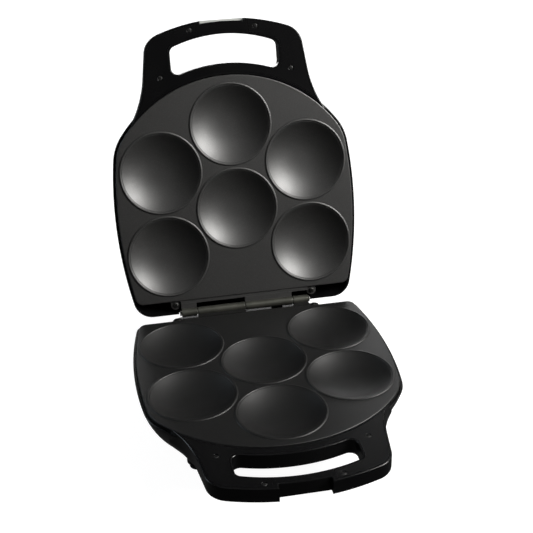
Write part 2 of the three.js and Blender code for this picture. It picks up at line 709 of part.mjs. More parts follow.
// Cast cooking plate with its beads, hinge knuckles, screw lugs and posts.
function cookingPlate() {
  const skirtLow = PLATE_TOP - PLATE_SKIRT;
  let plate = bodyPrism(0, skirtLow, PLATE_TOP).subtract(
    bodyPrism(-PLATE_SKIN, skirtLow - 1, PLATE_UNDER),
  );
  const radii = [0, 0.38, 0.72, 1].map((s) => s * CAVITY_R);
  const floor = radii.map((r) => [r, PLATE_TOP - cavityDepth(r)]);
  const scoop = [...floor, [CAVITY_R, 2], [0, 2]];
  const back = radii.map((r) => [
    r + (PLATE_SKIN * r) / CAVITY_R,
    PLATE_UNDER - cavityDepth(r),
  ]);
  const dish = [
    ...back,
    [CAVITY_R + PLATE_SKIN, PLATE_TOP - 0.5],
    [0, PLATE_TOP - 0.5],
  ];
  const b0 = CAVITY_R + BEAD_IN;
  const b1 = b0 + BEAD_WIDTH;
  const bead = [
    [b0, PLATE_TOP - 0.5],
    [b1, PLATE_TOP - 0.5],
    [b1, PLATE_TOP],
    [b1 - BEAD_WIDTH * 0.28, PLATE_TOP + BEAD_HEIGHT],
    [b0 + BEAD_WIDTH * 0.28, PLATE_TOP + BEAD_HEIGHT],
    [b0, PLATE_TOP],
    [b0, PLATE_TOP - 0.5],
  ];
  for (const [x, y] of CAVITY_CENTRES)
    plate = plate.add(turned(dish, x, y, SEG));
  for (const [x, y] of CAVITY_CENTRES)
    plate = plate
      .subtract(turned(scoop, x, y, SEG))
      .add(turned(bead, x, y, SEG));
  const pilot = REFLECTOR_SCREW.shank + PILOT;
  for (const [x, y] of POSTS)
    plate = plate
      .add(cylinder(POST_R, REFLECTOR_TOP + FIT, PLATE_UNDER + 1, x, y))
      .subtract(
        cylinder(pilot, REFLECTOR_TOP - 1, REFLECTOR_TOP + 8, x, y),
      );

  // Strip along the hinge edge, knuckles with their webs, and lugs.
  const strip = PLATE_REAR + 4;
  plate = plate.add(
    box(
      -PIN_HALF,
      PIN_HALF,
      PLATE_REAR - 1,
      strip,
      skirtLow + 0.4,
      PLATE_TOP - 1,
    ),
  );
  const spans = [
    [-KNUCKLE_GAP / 2 - KNUCKLE_LONG, -KNUCKLE_GAP / 2],
    [
      KNUCKLE_LONG + KNUCKLE_GAP * 1.5,
      KNUCKLE_LONG + KNUCKLE_GAP * 1.5 + KNUCKLE_SHORT,
    ],
  ];
  for (const [x0, x1] of spans)
    plate = plate
      .add(box(x0, x1, strip - 1, HINGE_Y, -KNUCKLE_R, PLATE_TOP - 0.4))
      .add(crossCylinder(KNUCKLE_R, x0, x1, HINGE_Y, 0, 16));
  plate = plate.subtract(
    crossCylinder(PIN_R + BORE_CLEARANCE, -PIN_HALF, PIN_HALF, HINGE_Y, 0),
  );
  const lugHole = PLATE_SCREW.shank + THROUGH;
  for (const x of [LUG_X, -LUG_X])
    plate = plate
      .add(
        box(x - LUG_R, x + LUG_R, PLATE_REAR - 1, LUG_Y, LUG_BOTTOM, LUG_TOP),
      )
      .add(cylinder(LUG_R, LUG_BOTTOM, LUG_TOP, x, LUG_Y, 16))
      .subtract(cylinder(lugHole, LUG_BOTTOM - 1, LUG_TOP + 1, x, LUG_Y));
  return plate;
}

// ---------------------------------------------------------------- hinge, latch and fasteners

function hingePin() {
  const end = -PIN_HALF - FIT;
  return union(
    crossCylinder(PIN_R, end - PIN_HEAD / 2, PIN_HALF + 1.8, HINGE_Y, 0),
    crossCylinder(PIN_R + 1.3, end - PIN_HEAD, end, HINGE_Y, 0),
  );
}

// Ring pressed on the pin's plain end.
function pinClip() {
  const x0 = PIN_HALF + FIT;
  return crossCylinder(PIN_R + 1.3, x0, x0 + 1, HINGE_Y, 0).subtract(
    crossCylinder(PIN_R + 0.05, x0 - 1, x0 + 3, HINGE_Y, 0),
  );
}

// Screw whose head lies on z = seat. Its shank points down, or up where "way" is -1.
function screw({ shank, head, high, long }, seat, x, y, way = 1) {
  const profile = [
    [0, -long - shank],
    [shank, -long],
    [shank, 0],
    [head, 0],
    [head * 0.8, high],
    [0, high],
  ];
  return turned(
    profile.map(([r, z]) => [r, seat + way * z]),
    x,
    y,
  );
}

// The latch about its own pin, in its latched position: the arm points to the base (+z here).
function latch() {
  const half = LATCH_NOTCH_HALF - LATCH_SIDE_GAP;
  const arm = HANDLE_T - LATCH_HOOK_T - LATCH_AXIS_Z + LATCH_LIFT;
  const out = -LATCH_ARM_OUT - LATCH_ARM_T;
  const reach = LATCH_AXIS_OUT + LATCH_HOOK;
  return union(
    crossCylinder(LATCH_BARREL_R, -half, half, 0, 0, 16),
    box(-half, half, out, -1.2, 0, 2.2),
    box(-half, half, out, out + LATCH_ARM_T, 0, arm + 0.5),
    box(-half, half, out, reach, arm, arm + LATCH_HOOK_T),
  ).subtract(
    crossCylinder(LATCH_PIN_R + BORE_CLEARANCE, -half - 1, half + 1, 0, 0),
  );
}

// Room in the lid's handle for the barrel and the folded arm, behind the lip.
function latchPocket() {
  const lip = HANDLE_TOP - LATCH_LIP_T;
  const slope = Math.tan(rad(LATCH_ANGLE - 180));
  const floor = NOTCH_FLOOR_Y + 1.9;
  const bend = LATCH_AXIS_Z + 0.6;
  const bottom = HANDLE_BOTTOM - 1;
  return crossPrism(
    [
      [-HANDLE_FRONT - 5, lip],
      [floor, lip],
      [floor, bend],
      [floor + (bend - bottom) * slope, bottom],
      [-HANDLE_FRONT - 5, bottom],
    ],
    -LATCH_NOTCH_HALF,
    LATCH_NOTCH_HALF,
  );
}

function latchPinHole() {
  const half = LATCH_SOLID_HALF - 0.6;
  return crossCylinder(LATCH_PIN_R + 0.1, -half, half, LATCH_Y, LATCH_AXIS_Z);
}

function latchPin() {
  const half = LATCH_SOLID_HALF - 1;
  return crossCylinder(LATCH_PIN_R, -half, half, LATCH_Y, LATCH_AXIS_Z);
}

// ---------------------------------------------------------------- heating and electrics

// Tubular element: an open ring pressed against the undersides of the outer dishes.
function heatingElement() {
  const r = PITCH - ELEMENT_IN;
  const [from, to] = [rad(62), rad(-242)];
  const path = new THREE.CatmullRomCurve3(
    arc(0, 0, r, from, to, 24).map(
      ([x, y]) => new THREE.Vector3(x, y, ELEMENT_Z),
    ),
  );
  const section = new THREE.Shape(
    arc(0, 0, ELEMENT_R, 0, 2 * Math.PI, 8)
      .slice(0, -1)
      .map((p) => new THREE.Vector2(...p)),
  );
  return solid(
    new THREE.ExtrudeGeometry(section, {
      steps: 44,
      extrudePath: path,
      bevelEnabled: false,
    }),
  );
}

// Sheet-metal reflector under the element, screwed to the plate's posts.
function reflector() {
  const halfX = PLATE_HALF;
  const midY = (PLATE_REAR - PLATE_FRONT_R) / 2;
  const halfY = PLATE_REAR - midY;
  const ring = (z, inset) =>
    bodyOutline(0).map(([x, y]) => [
      x * (1 - inset / halfX),
      midY + (y - midY) * (1 - inset / halfY),
      z,
    ]);
  const low = REFLECTOR_TOP - REFLECTOR_T;
  let sheet = loft([
    ring(low, REFLECTOR_INSET + 0.5),
    ring(REFLECTOR_TOP, REFLECTOR_INSET),
  ]);
  const screwHole = REFLECTOR_SCREW.shank + THROUGH;
  for (const [x, y] of POSTS)
    sheet = sheet.subtract(cylinder(screwHole, low - 1, REFLECTOR_TOP + 1, x, y));
  return sheet;
}

function thermostat() {
  const y = PLATE_REAR - 24;
  const top = PLATE_UNDER - FIT;
  return union(
    cylinder(8, top - 7, top, 0, y, 16),
    box(-11, -6, y - 3, y + 3, top - 5, top - 4),
    box(6, 11, y - 3, y + 3, top - 5, top - 4),
  );
}

function thermalFuse() {
  const z = PLATE_UNDER - FIT - 2.4;
  return union(
    crossCylinder(2.4, -31, -18, PLATE_REAR - 12, z),
    crossCylinder(0.6, -37, -14, PLATE_REAR - 12, z, 8),
  );
}

function terminalBlock() {
  const z = -SHELL_DEPTH + WALL + FIT;
  const y = BLOCK_REAR - 26;
  const body = box(-20, 10, y - 6, y + 6, z, z + 11);
  return [-14, -5, 4].reduce(
    (made, x) => made.subtract(cylinder(1.8, z + 5, z + 12, x, y, 8)),
    body,
  );
}

// Rubber bush in the block's back, where the supply cord passes.
function cordGland() {
  const profile = [
    [3.6, -WALL - 1.5],
    [GLAND_R, -WALL - 1.5],
    [GLAND_R, FIT],
    [GLAND_R + 3, FIT],
    [GLAND_R + 2, 2.2],
    [3.6, 2.2],
    [3.6, -WALL - 1.5],
  ].map((p) => new THREE.Vector2(...p));
  return solid(
    new THREE.LatheGeometry(profile, 16).translate(
      GLAND_X,
      BLOCK_REAR,
      glandZ(),
    ),
  );
}

function footPlaces() {
  return [
    [-FRONT_FOOT_X, FRONT_FOOT_Y],
    [FRONT_FOOT_X, FRONT_FOOT_Y],
    [-REAR_FOOT_X, REAR_FOOT_Y],
    [REAR_FOOT_X, REAR_FOOT_Y],
  ];
}

// Rubber foot with a sunk seat for its screw.
function foot(x, y) {
  const top = -SHELL_DEPTH - FIT;
  const low = -PART_Z;
  const hole = FOOT_SCREW.shank + THROUGH;
  const sunk = FOOT_SCREW.head + BOSS;
  const chamfer = 1.5;
  return turned(
    [
      [hole, low + FOOT_SEAT],
      [sunk, low + FOOT_SEAT],
      [sunk, low],
      [FOOT_R - chamfer, low],
      [FOOT_R, low + chamfer],
      [FOOT_R, top],
      [hole, top],
      [hole, low + FOOT_SEAT],
    ],
    x,
    y,
    16,
  );
}

// Lamp window in the lid's crown, a flanged dome pushed in from outside.
function lens(x) {
  const face = -SHELL_DEPTH;
  return turned(
    [
      [0, face + WALL + 1],
      [LENS_R, face + WALL + 1],
      [LENS_R, face - FIT],
      [LENS_R + 1.4, face - FIT],
      [LENS_R + 1, face - 1.3],
      [LENS_R * 0.5, face - 2.2],
      [0, face - 2.4],
    ],
    x,
    LENS_Y,
    16,
  );
}

function lamp(x) {
  const low = -SHELL_DEPTH + WALL + 1 + FIT;
  return turned(
    [
      [0, low],
      [1.6, low + 0.6],
      [2.6, low + 2],
      [2.6, low + 9],
      [0, low + 9],
    ],
    x,
    LENS_Y,
    10,
  );
}

function lampHolder() {
  const z = -SHELL_DEPTH + WALL + 1 + FIT + 9 + FIT;
  const half = LENS_X + 8;
  return box(-half, half, LENS_Y - 6, LENS_Y + 6, z, z + 1.4);
}

// ---------------------------------------------------------------- materials

function material(color, roughness, metalness, extra = {}) {
  return new THREE.MeshStandardMaterial({
    color,
    roughness,
    metalness,
    ...extra,
  });
}

const housingPlastic = material(0x101012, 0.28, 0);
const coverPlastic = material(0x0c0c0d, 0.4, 0);
const nonStick = material(0x2c2c2d, 0.42, 0.55);
const latchMetal = material(0xb9bcb8, 0.25, 0.9);
const steel = material(0xa8a8a4, 0.35, 1);
const blackScrew = material(0x1a1a1b, 0.4, 0.6);
const rubber = material(0x0d0d0d, 0.85, 0);
const elementSteel = material(0x5a5653, 0.55, 0.8);
const sheetMetal = material(0xc2c4c6, 0.3, 1);
const ceramic = material(0xd9d4c6, 0.6, 0);
const redLens = material(0xb5120f, 0.15, 0, { transparent: true });
const greenLens = material(0x1a8f3a, 0.15, 0, { transparent: true });
const lampGlass = material(0xe8e2d6, 0.1, 0, { transparent: true });

// ---------------------------------------------------------------- assembly

function add(group, name, shape, finish) {
  const mesh = new THREE.Mesh(geometryOf(shape), finish);
  mesh.name = name;
  group.add(mesh);
}

// Pieces that both halves have, named for the half they are in.
function addCommon(group, half) {
  add(group, half + "_plate", cookingPlate(), nonStick);
  add(group, half + "_handle_cover", handleCover(), coverPlastic);
  add(group, half + "_heating_element", heatingElement(), elementSteel);
  add(group, half + "_reflector", reflector(), sheetMetal);
  [LUG_X, -LUG_X].forEach((x, i) =>
    add(
      group,
      `${half}_plate_screw_${i + 1}`,
      screw(PLATE_SCREW, LUG_TOP + FIT / 2, x, LUG_Y),
      steel,
    ),
  );
  COVER_SCREWS.forEach(([x, y], i) =>
    add(
      group,
      `${half}_cover_screw_${i + 1}`,
      screw(COVER_SCREW, HANDLE_TOP - COUNTERBORE_DEEP + FIT / 2, x, y),
      blackScrew,
    ),
  );
  POSTS.forEach(([x, y], i) =>
    add(
      group,
      `${half}_reflector_screw_${i + 1}`,
      screw(REFLECTOR_SCREW, REFLECTOR_TOP - REFLECTOR_T - FIT, x, y, -1),
      steel,
    ),
  );
}

const base = new THREE.Group();
base.position.z = PART_Z;
add(base, "base_shell", baseShell(), housingPlastic);
addCommon(base, "base");
add(base, "hinge_pin", hingePin(), steel);
add(base, "hinge_pin_clip", pinClip(), steel);
add(base, "thermostat", thermostat(), ceramic);
add(base, "thermal_fuse", thermalFuse(), sheetMetal);
add(base, "terminal_block", terminalBlock(), ceramic);
add(base, "cord_gland", cordGland(), rubber);
const FOOT_NAMES = ["front_left", "front_right", "rear_left", "rear_right"];
footPlaces().forEach(([x, y], i) => {
  add(base, FOOT_NAMES[i] + "_foot", foot(x, y), rubber);
  const seat = -PART_Z + FOOT_SEAT - FIT;
  add(
    base,
    FOOT_NAMES[i] + "_foot_screw",
    screw(FOOT_SCREW, seat, x, y, -1),
    steel,
  );
});

const lid = new THREE.Group();
lid.position.y = -HINGE_Y;
lid.rotation.y = Math.PI;
add(lid, "lid_shell", lidShell().subtract(latchPinHole()), housingPlastic);
addCommon(lid, "lid");
add(lid, "power_lens", lens(LENS_X), redLens);
add(lid, "ready_lens", lens(-LENS_X), greenLens);
add(lid, "power_lamp", lamp(LENS_X), lampGlass);
add(lid, "ready_lamp", lamp(-LENS_X), lampGlass);
add(lid, "lamp_holder", lampHolder(), ceramic);
add(lid, "latch_pin", latchPin(), steel);

const latchArm = new THREE.Group();
latchArm.position.set(0, LATCH_Y, LATCH_AXIS_Z);
latchArm.rotation.x = rad(LATCH_ANGLE);
add(latchArm, "latch", latch(), latchMetal);
lid.add(latchArm);

const swing = new THREE.Group();
swing.position.set(0, HINGE_Y, PART_Z);
swing.rotation.x = -rad(OPEN_ANGLE);
swing.add(lid);

// The origin is on the worktop, under the middle of the open appliance.
const appliance = new THREE.Group();
appliance.add(base, swing);
const extent = new THREE.Box3().setFromObject(appliance, true);
appliance.position.y = -(extent.min.y + extent.max.y) / 2;

const donutMaker = new THREE.Group();
donutMaker.add(appliance);

export default donutMaker;
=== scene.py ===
# A hinged electric maker that bakes six round cakes between two cast, non-stick plates. It stands open:
# the lid leans back on two ribs behind the hinge, and its latch is folded away in the handle.
#
# Both halves are drawn in millimetres in a frame of their own: x across, y from the handle (-y) to the
# hinge (+y), z = 0 where the closed halves meet and z < 0 into the half's own housing. A finished mesh is
# then placed in the row frame, in metres.

import json
from math import asin, atan2, cos, hypot, pi, radians, sin, sqrt, tan

import bmesh
import bpy
import numpy as np
from mathutils import Matrix, Vector
from mathutils.geometry import delaunay_2d_cdt


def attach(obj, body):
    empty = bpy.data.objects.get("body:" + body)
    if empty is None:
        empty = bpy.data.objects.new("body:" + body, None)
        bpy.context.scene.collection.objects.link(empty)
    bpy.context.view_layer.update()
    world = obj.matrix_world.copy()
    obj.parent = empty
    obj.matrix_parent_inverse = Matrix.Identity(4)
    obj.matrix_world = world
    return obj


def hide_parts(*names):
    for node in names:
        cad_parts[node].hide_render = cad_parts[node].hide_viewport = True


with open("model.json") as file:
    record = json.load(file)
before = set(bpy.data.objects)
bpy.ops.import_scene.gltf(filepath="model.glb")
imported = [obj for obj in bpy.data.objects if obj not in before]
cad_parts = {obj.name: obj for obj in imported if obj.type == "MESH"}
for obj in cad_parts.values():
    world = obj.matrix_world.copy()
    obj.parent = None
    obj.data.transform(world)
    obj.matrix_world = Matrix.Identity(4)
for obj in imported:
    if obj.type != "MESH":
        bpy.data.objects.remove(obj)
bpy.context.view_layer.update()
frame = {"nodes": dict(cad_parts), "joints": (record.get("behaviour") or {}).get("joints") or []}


# ---------------------------------------------------------------- camera
# A long lens, above and a little to the left of the maker's front.

AIM = Vector((0.0128, 0.0278, 0.1301))
DISTANCE = 1.0572
FOCAL_LENGTH = 72.2
TURN, RISE, ROLL = radians(-10.06), radians(28.17), radians(-1.54)


def linked(name, data):
    """A new object of the scene."""
    made = bpy.data.objects.new(name, data)
    bpy.context.scene.collection.objects.link(made)
    return made


camera = linked("camera", bpy.data.cameras.new("camera"))
camera.data.lens = FOCAL_LENGTH
facing = Matrix.Rotation(TURN, 4, "Z") @ Matrix.Rotation(pi / 2 - RISE, 4, "X")
facing = facing @ Matrix.Rotation(ROLL, 4, "Z")
camera.matrix_world = Matrix.Translation(AIM) @ facing @ Matrix.Translation((0, 0, DISTANCE))
bpy.context.scene.camera = camera


# ---------------------------------------------------------------- floor and lights
# A plain white table and backdrop that only the camera sees. A large soft key stands front right with a
# weak side light past it, a weak fill hangs above, a cool strip on the left draws the edges of the black
# plastic, and a broad light behind shows the maker's back.

FLOOR_HALF = 6.0
ROOM_LIGHT = 0.045

# name: (degrees right of front, degrees up, distance, width, height, power, colour)
LIGHTS = {
    "key": (70, 34, 1.7, 0.8, 0.8, 64, (1, 0.985, 0.96)),
    "side": (118, 46, 1.7, 0.6, 0.6, 1.2, (1, 0.99, 0.97)),
    "fill": (-35, 62, 2.0, 1.2, 1.2, 1.5, (1, 1, 1)),
    "strip": (-112, 16, 1.6, 0.25, 1.4, 6, (0.8, 0.9, 1)),
    "back": (172, 10, 1.9, 1.4, 0.8, 16, (1, 1, 1)),
}


class Value:
    """An output socket of a node. Arithmetic on it adds Math nodes to the same tree."""

    def __init__(self, graph, socket):
        self.graph = graph
        self.socket = socket

    def output(self, which):
        return Value(self.graph, self.socket.node.outputs[which])

    def math(self, operation, *values):
        return self.graph.node("ShaderNodeMath", {"operation": operation}, dict(enumerate(values)))

    def __add__(self, other):
        return self.math("ADD", self, other)

    def __radd__(self, other):
        return self.math("ADD", other, self)

    def __sub__(self, other):
        return self.math("SUBTRACT", self, other)

    def __rsub__(self, other):
        return self.math("SUBTRACT", other, self)

    def __mul__(self, other):
        return self.math("MULTIPLY", self, other)

    def __rmul__(self, other):
        return self.math("MULTIPLY", other, self)

    def __truediv__(self, other):
        return self.math("DIVIDE", self, other)

    def __pow__(self, other):
        return self.math("POWER", self, other)

    def __lt__(self, other):
        return self.math("LESS_THAN", self, other)

    def __gt__(self, other):
        return self.math("GREATER_THAN", self, other)


class Graph:
    """A node tree that is filled through one method."""

    def __init__(self, tree):
        self.tree = tree

    def node(self, kind, settings=None, sockets=None):
        made = self.tree.nodes.new(kind)
        for name, value in (settings or {}).items():
            if name == "stops":
                for stop, (place, shade) in zip(made.color_ramp.elements, value):
                    stop.position = place
                    stop.color = (*shade, 1)
            else:
                setattr(made, name, value)
        for name, value in (sockets or {}).items():
            if isinstance(value, list):
                for part in value:
                    self.tree.links.new(part.socket, made.inputs[name])
            elif isinstance(value, Value):
                self.tree.links.new(value.socket, made.inputs[name])
            else:
                made.inputs[name].default_value = value
        return Value(self, made.outputs[0]) if made.outputs else None


def material(name, finish):
    """A material whose finish(graph, place) gives the sockets of its shader."""
    made = bpy.data.materials.new(name)
    made.use_nodes = True
    made.node_tree.nodes.clear()
    graph = Graph(made.node_tree)
    place = graph.node("ShaderNodeTexCoord").output("Object")
    shader = graph.node("ShaderNodeBsdfPrincipled", None, finish(graph, place))
    graph.node("ShaderNodeOutputMaterial", None, {"Surface": shader})
    return made


def noise(graph, place, scale, detail=2.0):
    return graph.node("ShaderNodeTexNoise", None, {"Vector": place, "Scale": scale, "Detail": detail})


def shades(graph, factor, dark, light, start=0.3, stop=0.7):
    """A colour between dark and light as the factor goes from start to stop."""
    return graph.node("ShaderNodeValToRGB", {"stops": [(start, dark), (stop, light)]}, {"Fac": factor})


def bumped(graph, height, strength, distance):
    """A relief of the given depth in metres."""
    sockets = {"Height": height, "Strength": strength, "Distance": distance}
    return graph.node("ShaderNodeBump", None, sockets)


def table_finish(graph, place):
    cloud = noise(graph, place, 3.0)
    return {
        "Base Color": shades(graph, cloud, (0.2, 0.2, 0.2), (0.24, 0.24, 0.24)),
        "Roughness": 0.9,
        "Specular IOR Level": 0.1,
        "Emission Color": (1, 1, 1, 1),
        "Emission Strength": 0.96,
    }


def backdrop_finish(graph, place):
    cloud = noise(graph, place, 0.5)
    return {
        "Base Color": (0, 0, 0, 1),
        "Roughness": 1.0,
        "Specular IOR Level": 0.0,
        "Emission Color": shades(graph, cloud, (0.99, 0.99, 0.99), (1, 1, 1)),
        "Emission Strength": 1.05,
    }


def staged(name, points, faces, coat):
    """A piece of the studio, seen by the camera only."""
    mesh = bpy.data.meshes.new(name)
    mesh.from_pydata(points, [], faces)
    mesh.materials.append(coat)
    made = linked(name, mesh)
    made.visible_glossy = False
    made.visible_diffuse = False
    made.visible_transmission = False
    return made


corners = [(x * FLOOR_HALF, y * FLOOR_HALF) for x, y in ((-1, -1), (1, -1), (1, 1), (-1, 1))]
table_points = [(x, y, 0) for x, y in corners]
staged("table", table_points, [(0, 1, 2, 3)], material("white_table", table_finish))
wall_points = [(x, y, z) for z in (-1, 2 * FLOOR_HALF) for x, y in corners]
wall_faces = [(4, 7, 6, 5), (0, 1, 5, 4), (1, 2, 6, 5), (2, 3, 7, 6), (3, 0, 4, 7)]
walls = staged("backdrop", wall_points, wall_faces, material("backdrop", backdrop_finish))
walls.visible_shadow = False

scene = bpy.context.scene
scene.view_settings.view_transform = "Standard"
scene.world = bpy.data.worlds.new("studio")
scene.world.use_nodes = True
room = scene.world.node_tree.nodes["Background"]
room.inputs["Color"].default_value = (1, 1, 1, 1)
room.inputs["Strength"].default_value = ROOM_LIGHT

for name, (turn, rise, away, width, height, power, colour) in LIGHTS.items():
    lamp = linked(name + "_light", bpy.data.lights.new(name, "AREA"))
    lamp.data.shape = "RECTANGLE"
    lamp.data.size = width
    lamp.data.size_y = height
    lamp.data.energy = power
    lamp.data.color = colour
    turned_to = Matrix.Rotation(radians(turn), 4, "Z") @ Matrix.Rotation(pi / 2 - radians(rise), 4, "X")
    lamp.matrix_world = Matrix.Translation(AIM) @ turned_to @ Matrix.Translation((0, 0, away))
    lamp.visible_camera = False


# ---------------------------------------------------------------- cooking plates
# Two copies of one die casting: six dished cavities with a raised bead round each, a turned-down edge,
# and on the hinge side a strip with two knuckles and two screw lugs. Grey speckled non-stick coating.

CAVITY_R = 40
CAVITY_DEPTH = 11
CAVITY_POWER = 2.4
CAVITY_LAND = 4.2
BEAD_IN = 0.6
BEAD_WIDTH = 2.8
BEAD_HEIGHT = 0.8
SIDE_MARGIN = 8.4
FRONT_MARGIN = 10.6
REAR_MARGIN = 9.3
SIDE_ARC_R = 430
SIDE_ARC_Y = -2
SHOULDER_R = 50
PLATE_CORNER_R = 8
PLATE_TOP = -1
PLATE_SKIN = 3
PLATE_SKIRT = 4.3
BACK_REACH = 2  # how far a dish's back is wider than its lip
BEAD_ROUND = 0.6
PLATE_EDGE_R = 1.1
SKIRT_EDGE_R = 0.5
LIP_RINGS = (0.25, 0, -0.4, -1)  # distances from a dish's lip, outwards
BURIED = 1.5  # how far a piece cast on to the plate starts inside it
STRIP_REACH = 4
STRIP_DROP = 1
STRIP_RISE = 0.4
STRIP_EDGE_R = 0.5
HINGE_REACH = 12.7
KNUCKLE_R = 4.5
KNUCKLE_LONG = 51.3
KNUCKLE_SHORT = 16.4
KNUCKLE_GAP = 0.6
KNUCKLE_DROP = 0.4
KNUCKLE_EDGE_R = 0.35
PIN_R = 2
PIN_PLAY = 0.1
FIT = 0.3
LUG_X = 74
LUG_R = 5
LUG_OUT = 4.5
LUG_DROP = 2.6
LUG_T = 2.4
LUG_HOLE_R = 1.9
CORNER_SHARE = 0.45  # of a side, at most, that the round of one corner takes
HOLE_OVER = 6  # how far the form of a hole runs past the faces it opens
TINY = 1e-6

PITCH = 2 * (CAVITY_R + CAVITY_LAND)
CENTRES = [(0, 0)]
CENTRES += [(PITCH * cos(radians(a)), PITCH * sin(radians(a))) for a in (30, 150, 210, 270, 330)]
PLATE_HALF = PITCH * cos(radians(30)) + CAVITY_R + SIDE_MARGIN
PLATE_FRONT_R = PITCH + CAVITY_R + FRONT_MARGIN
PLATE_REAR = PITCH / 2 + CAVITY_R + REAR_MARGIN
PLATE_UNDER = PLATE_TOP - PLATE_SKIN
SKIRT_LOW = PLATE_TOP - PLATE_SKIRT
HINGE_Y = PLATE_REAR + HINGE_REACH
STRIP_Y = PLATE_REAR + STRIP_REACH
PIN_HALF = KNUCKLE_LONG + KNUCKLE_GAP * 1.5 + KNUCKLE_SHORT + FIT
LUG_Y = PLATE_REAR + LUG_OUT
LUG_TOP = PLATE_TOP - LUG_DROP
LUG_BOTTOM = LUG_TOP - LUG_T

joints = {joint["name"]: joint for joint in frame["joints"]}
OPEN = radians(joints["lid_hinge"]["range_deg"][1])
from_pin = Matrix.Translation((0, -HINGE_Y, 0))
at_pin = Matrix.Translation(joints["lid_hinge"]["pos_m"]) @ Matrix.Scale(0.001, 4)
HALVES = {
    "base": at_pin @ from_pin,
    "lid": at_pin @ Matrix.Rotation(-OPEN, 4, "X") @ Matrix.Rotation(pi, 4, "Y") @ from_pin,
}
ALONG_X = Matrix(((0, 0, 1, 0), (1, 0, 0, 0), (0, 1, 0, 0), (0, 0, 0, 1)))


class Form:
    """Points and faces of one closed mesh, gathered ring by ring."""

    def __init__(self):
        self.points = []
        self.faces = []

    def ring(self, points):
        start = len(self.points)
        self.points += [tuple(p) for p in points]
        return list(range(start, len(self.points)))

    def band(self, low, high):
        count = len(low)
        for i in range(count):
            j = (i + 1) % count
            self.faces.append((low[i], low[j], high[j], high[i]))

    def bands(self, rings):
        for low, high in zip(rings, rings[1:]):
            self.band(low, high)

    def fan(self, ring, point):
        (tip,) = self.ring([point])
        count = len(ring)
        self.faces += [(ring[i], ring[(i + 1) % count], tip) for i in range(count)]

    def ladder(self, ring):
        """Closes a ring whose second half mirrors its first with rungs from side to side."""
        last = len(ring) // 2
        for i in range(last - 1):
            self.faces.append((ring[i], ring[i + 1], ring[-2 - i], ring[-1 - i]))
        self.faces.append((ring[last - 1], ring[last], ring[last + 1]))

    def fill(self, outer, circles):
        """Triangles between a convex ring and the round rings inside it, all on one plane."""
        loops = [outer, *circles]
        flat = [Vector(self.points[i][:2]) for loop in loops for i in loop]
        index = [i for loop in loops for i in loop]
        edges = []
        for loop in loops:
            start = len(edges)
            edges += [(start + i, start + (i + 1) % len(loop)) for i in range(len(loop))]
        spots, _, faces, came_from, _, _ = delaunay_2d_cdt(flat, edges, [], 0, TINY)
        middles = []
        for loop in circles:
            ring = np.array([self.points[i][:2] for i in loop])
            middle = ring.mean(0)
            middles.append((middle, hypot(*(ring[0] - middle))))
        for face in faces:
            centre = np.mean([spots[i] for i in face], axis=0)
            if all(hypot(*(centre - middle)) > r for middle, r in middles):
                self.faces.append(tuple(index[came_from[i][0]] for i in face))

    def capped(self, rings):
        """The mesh of a wall of rings, closed by a flat face at each end."""
        self.bands(rings)
        self.faces += [tuple(rings[0]), tuple(rings[-1])]
        return self.mesh()

    def mesh(self):
        work = bmesh.new()
        made = [work.verts.new(p) for p in self.points]
        for face in self.faces:
            work.faces.new([made[i] for i in face])
        bmesh.ops.remove_doubles(work, verts=work.verts, dist=10 * TINY)
        bmesh.ops.recalc_face_normals(work, faces=work.faces)
        mesh = bpy.data.meshes.new("form")
        work.to_mesh(mesh)
        work.free()
        return mesh


def arc(x, y, r, start, stop, steps):
    angles = np.linspace(start, stop, steps + 1)
    return [(x + r * cos(a), y + r * sin(a)) for a in angles]


def circle(x, y, r, steps=40):
    return arc(x, y, r, 0, 2 * pi, steps)[:-1]


def mirrored(right):
    """The right half of an outline, rear to front, closed with its mirror image."""
    right = [(0 if abs(x) < TINY else x, y) for x, y in right]
    return right + [(-x, y) for x, y in right[::-1] if x]


def body_outline(grow, rear=PLATE_REAR, corner=PLATE_CORNER_R):
    """Hinge edge, bulging sides and a front that is an arc about the centre cavity."""
    side_x = PLATE_HALF - SIDE_ARC_R
    corner_y = rear - corner
    corner_x = side_x + sqrt((SIDE_ARC_R - corner) ** 2 - (corner_y - SIDE_ARC_Y) ** 2)
    side_top = atan2(corner_y - SIDE_ARC_Y, corner_x - side_x)
    # The shoulder touches the side arc and the front arc from inside.
    reach_side = SIDE_ARC_R - SHOULDER_R
    reach_front = PLATE_FRONT_R - SHOULDER_R
    apart = hypot(side_x, SIDE_ARC_Y)
    along = (reach_front**2 - reach_side**2 + apart**2) / (2 * apart)
    across = sqrt(reach_front**2 - along**2)
    ux, uy = side_x / apart, SIDE_ARC_Y / apart
    shoulder_x = ux * along - uy * across
    shoulder_y = uy * along + ux * across
    to_side = atan2(shoulder_y - SIDE_ARC_Y, shoulder_x - side_x)
    to_front = atan2(shoulder_y, shoulder_x)
    right = arc(corner_x, corner_y, corner + grow, pi / 2, side_top, 10)
    right += arc(side_x, SIDE_ARC_Y, SIDE_ARC_R + grow, side_top, to_side, 26)[1:]
    right += arc(shoulder_x, shoulder_y, SHOULDER_R + grow, to_side, to_front, 18)[1:]
    right += arc(0, 0, PLATE_FRONT_R + grow, to_front, -pi / 2, 24)[1:]
    return mirrored(right)


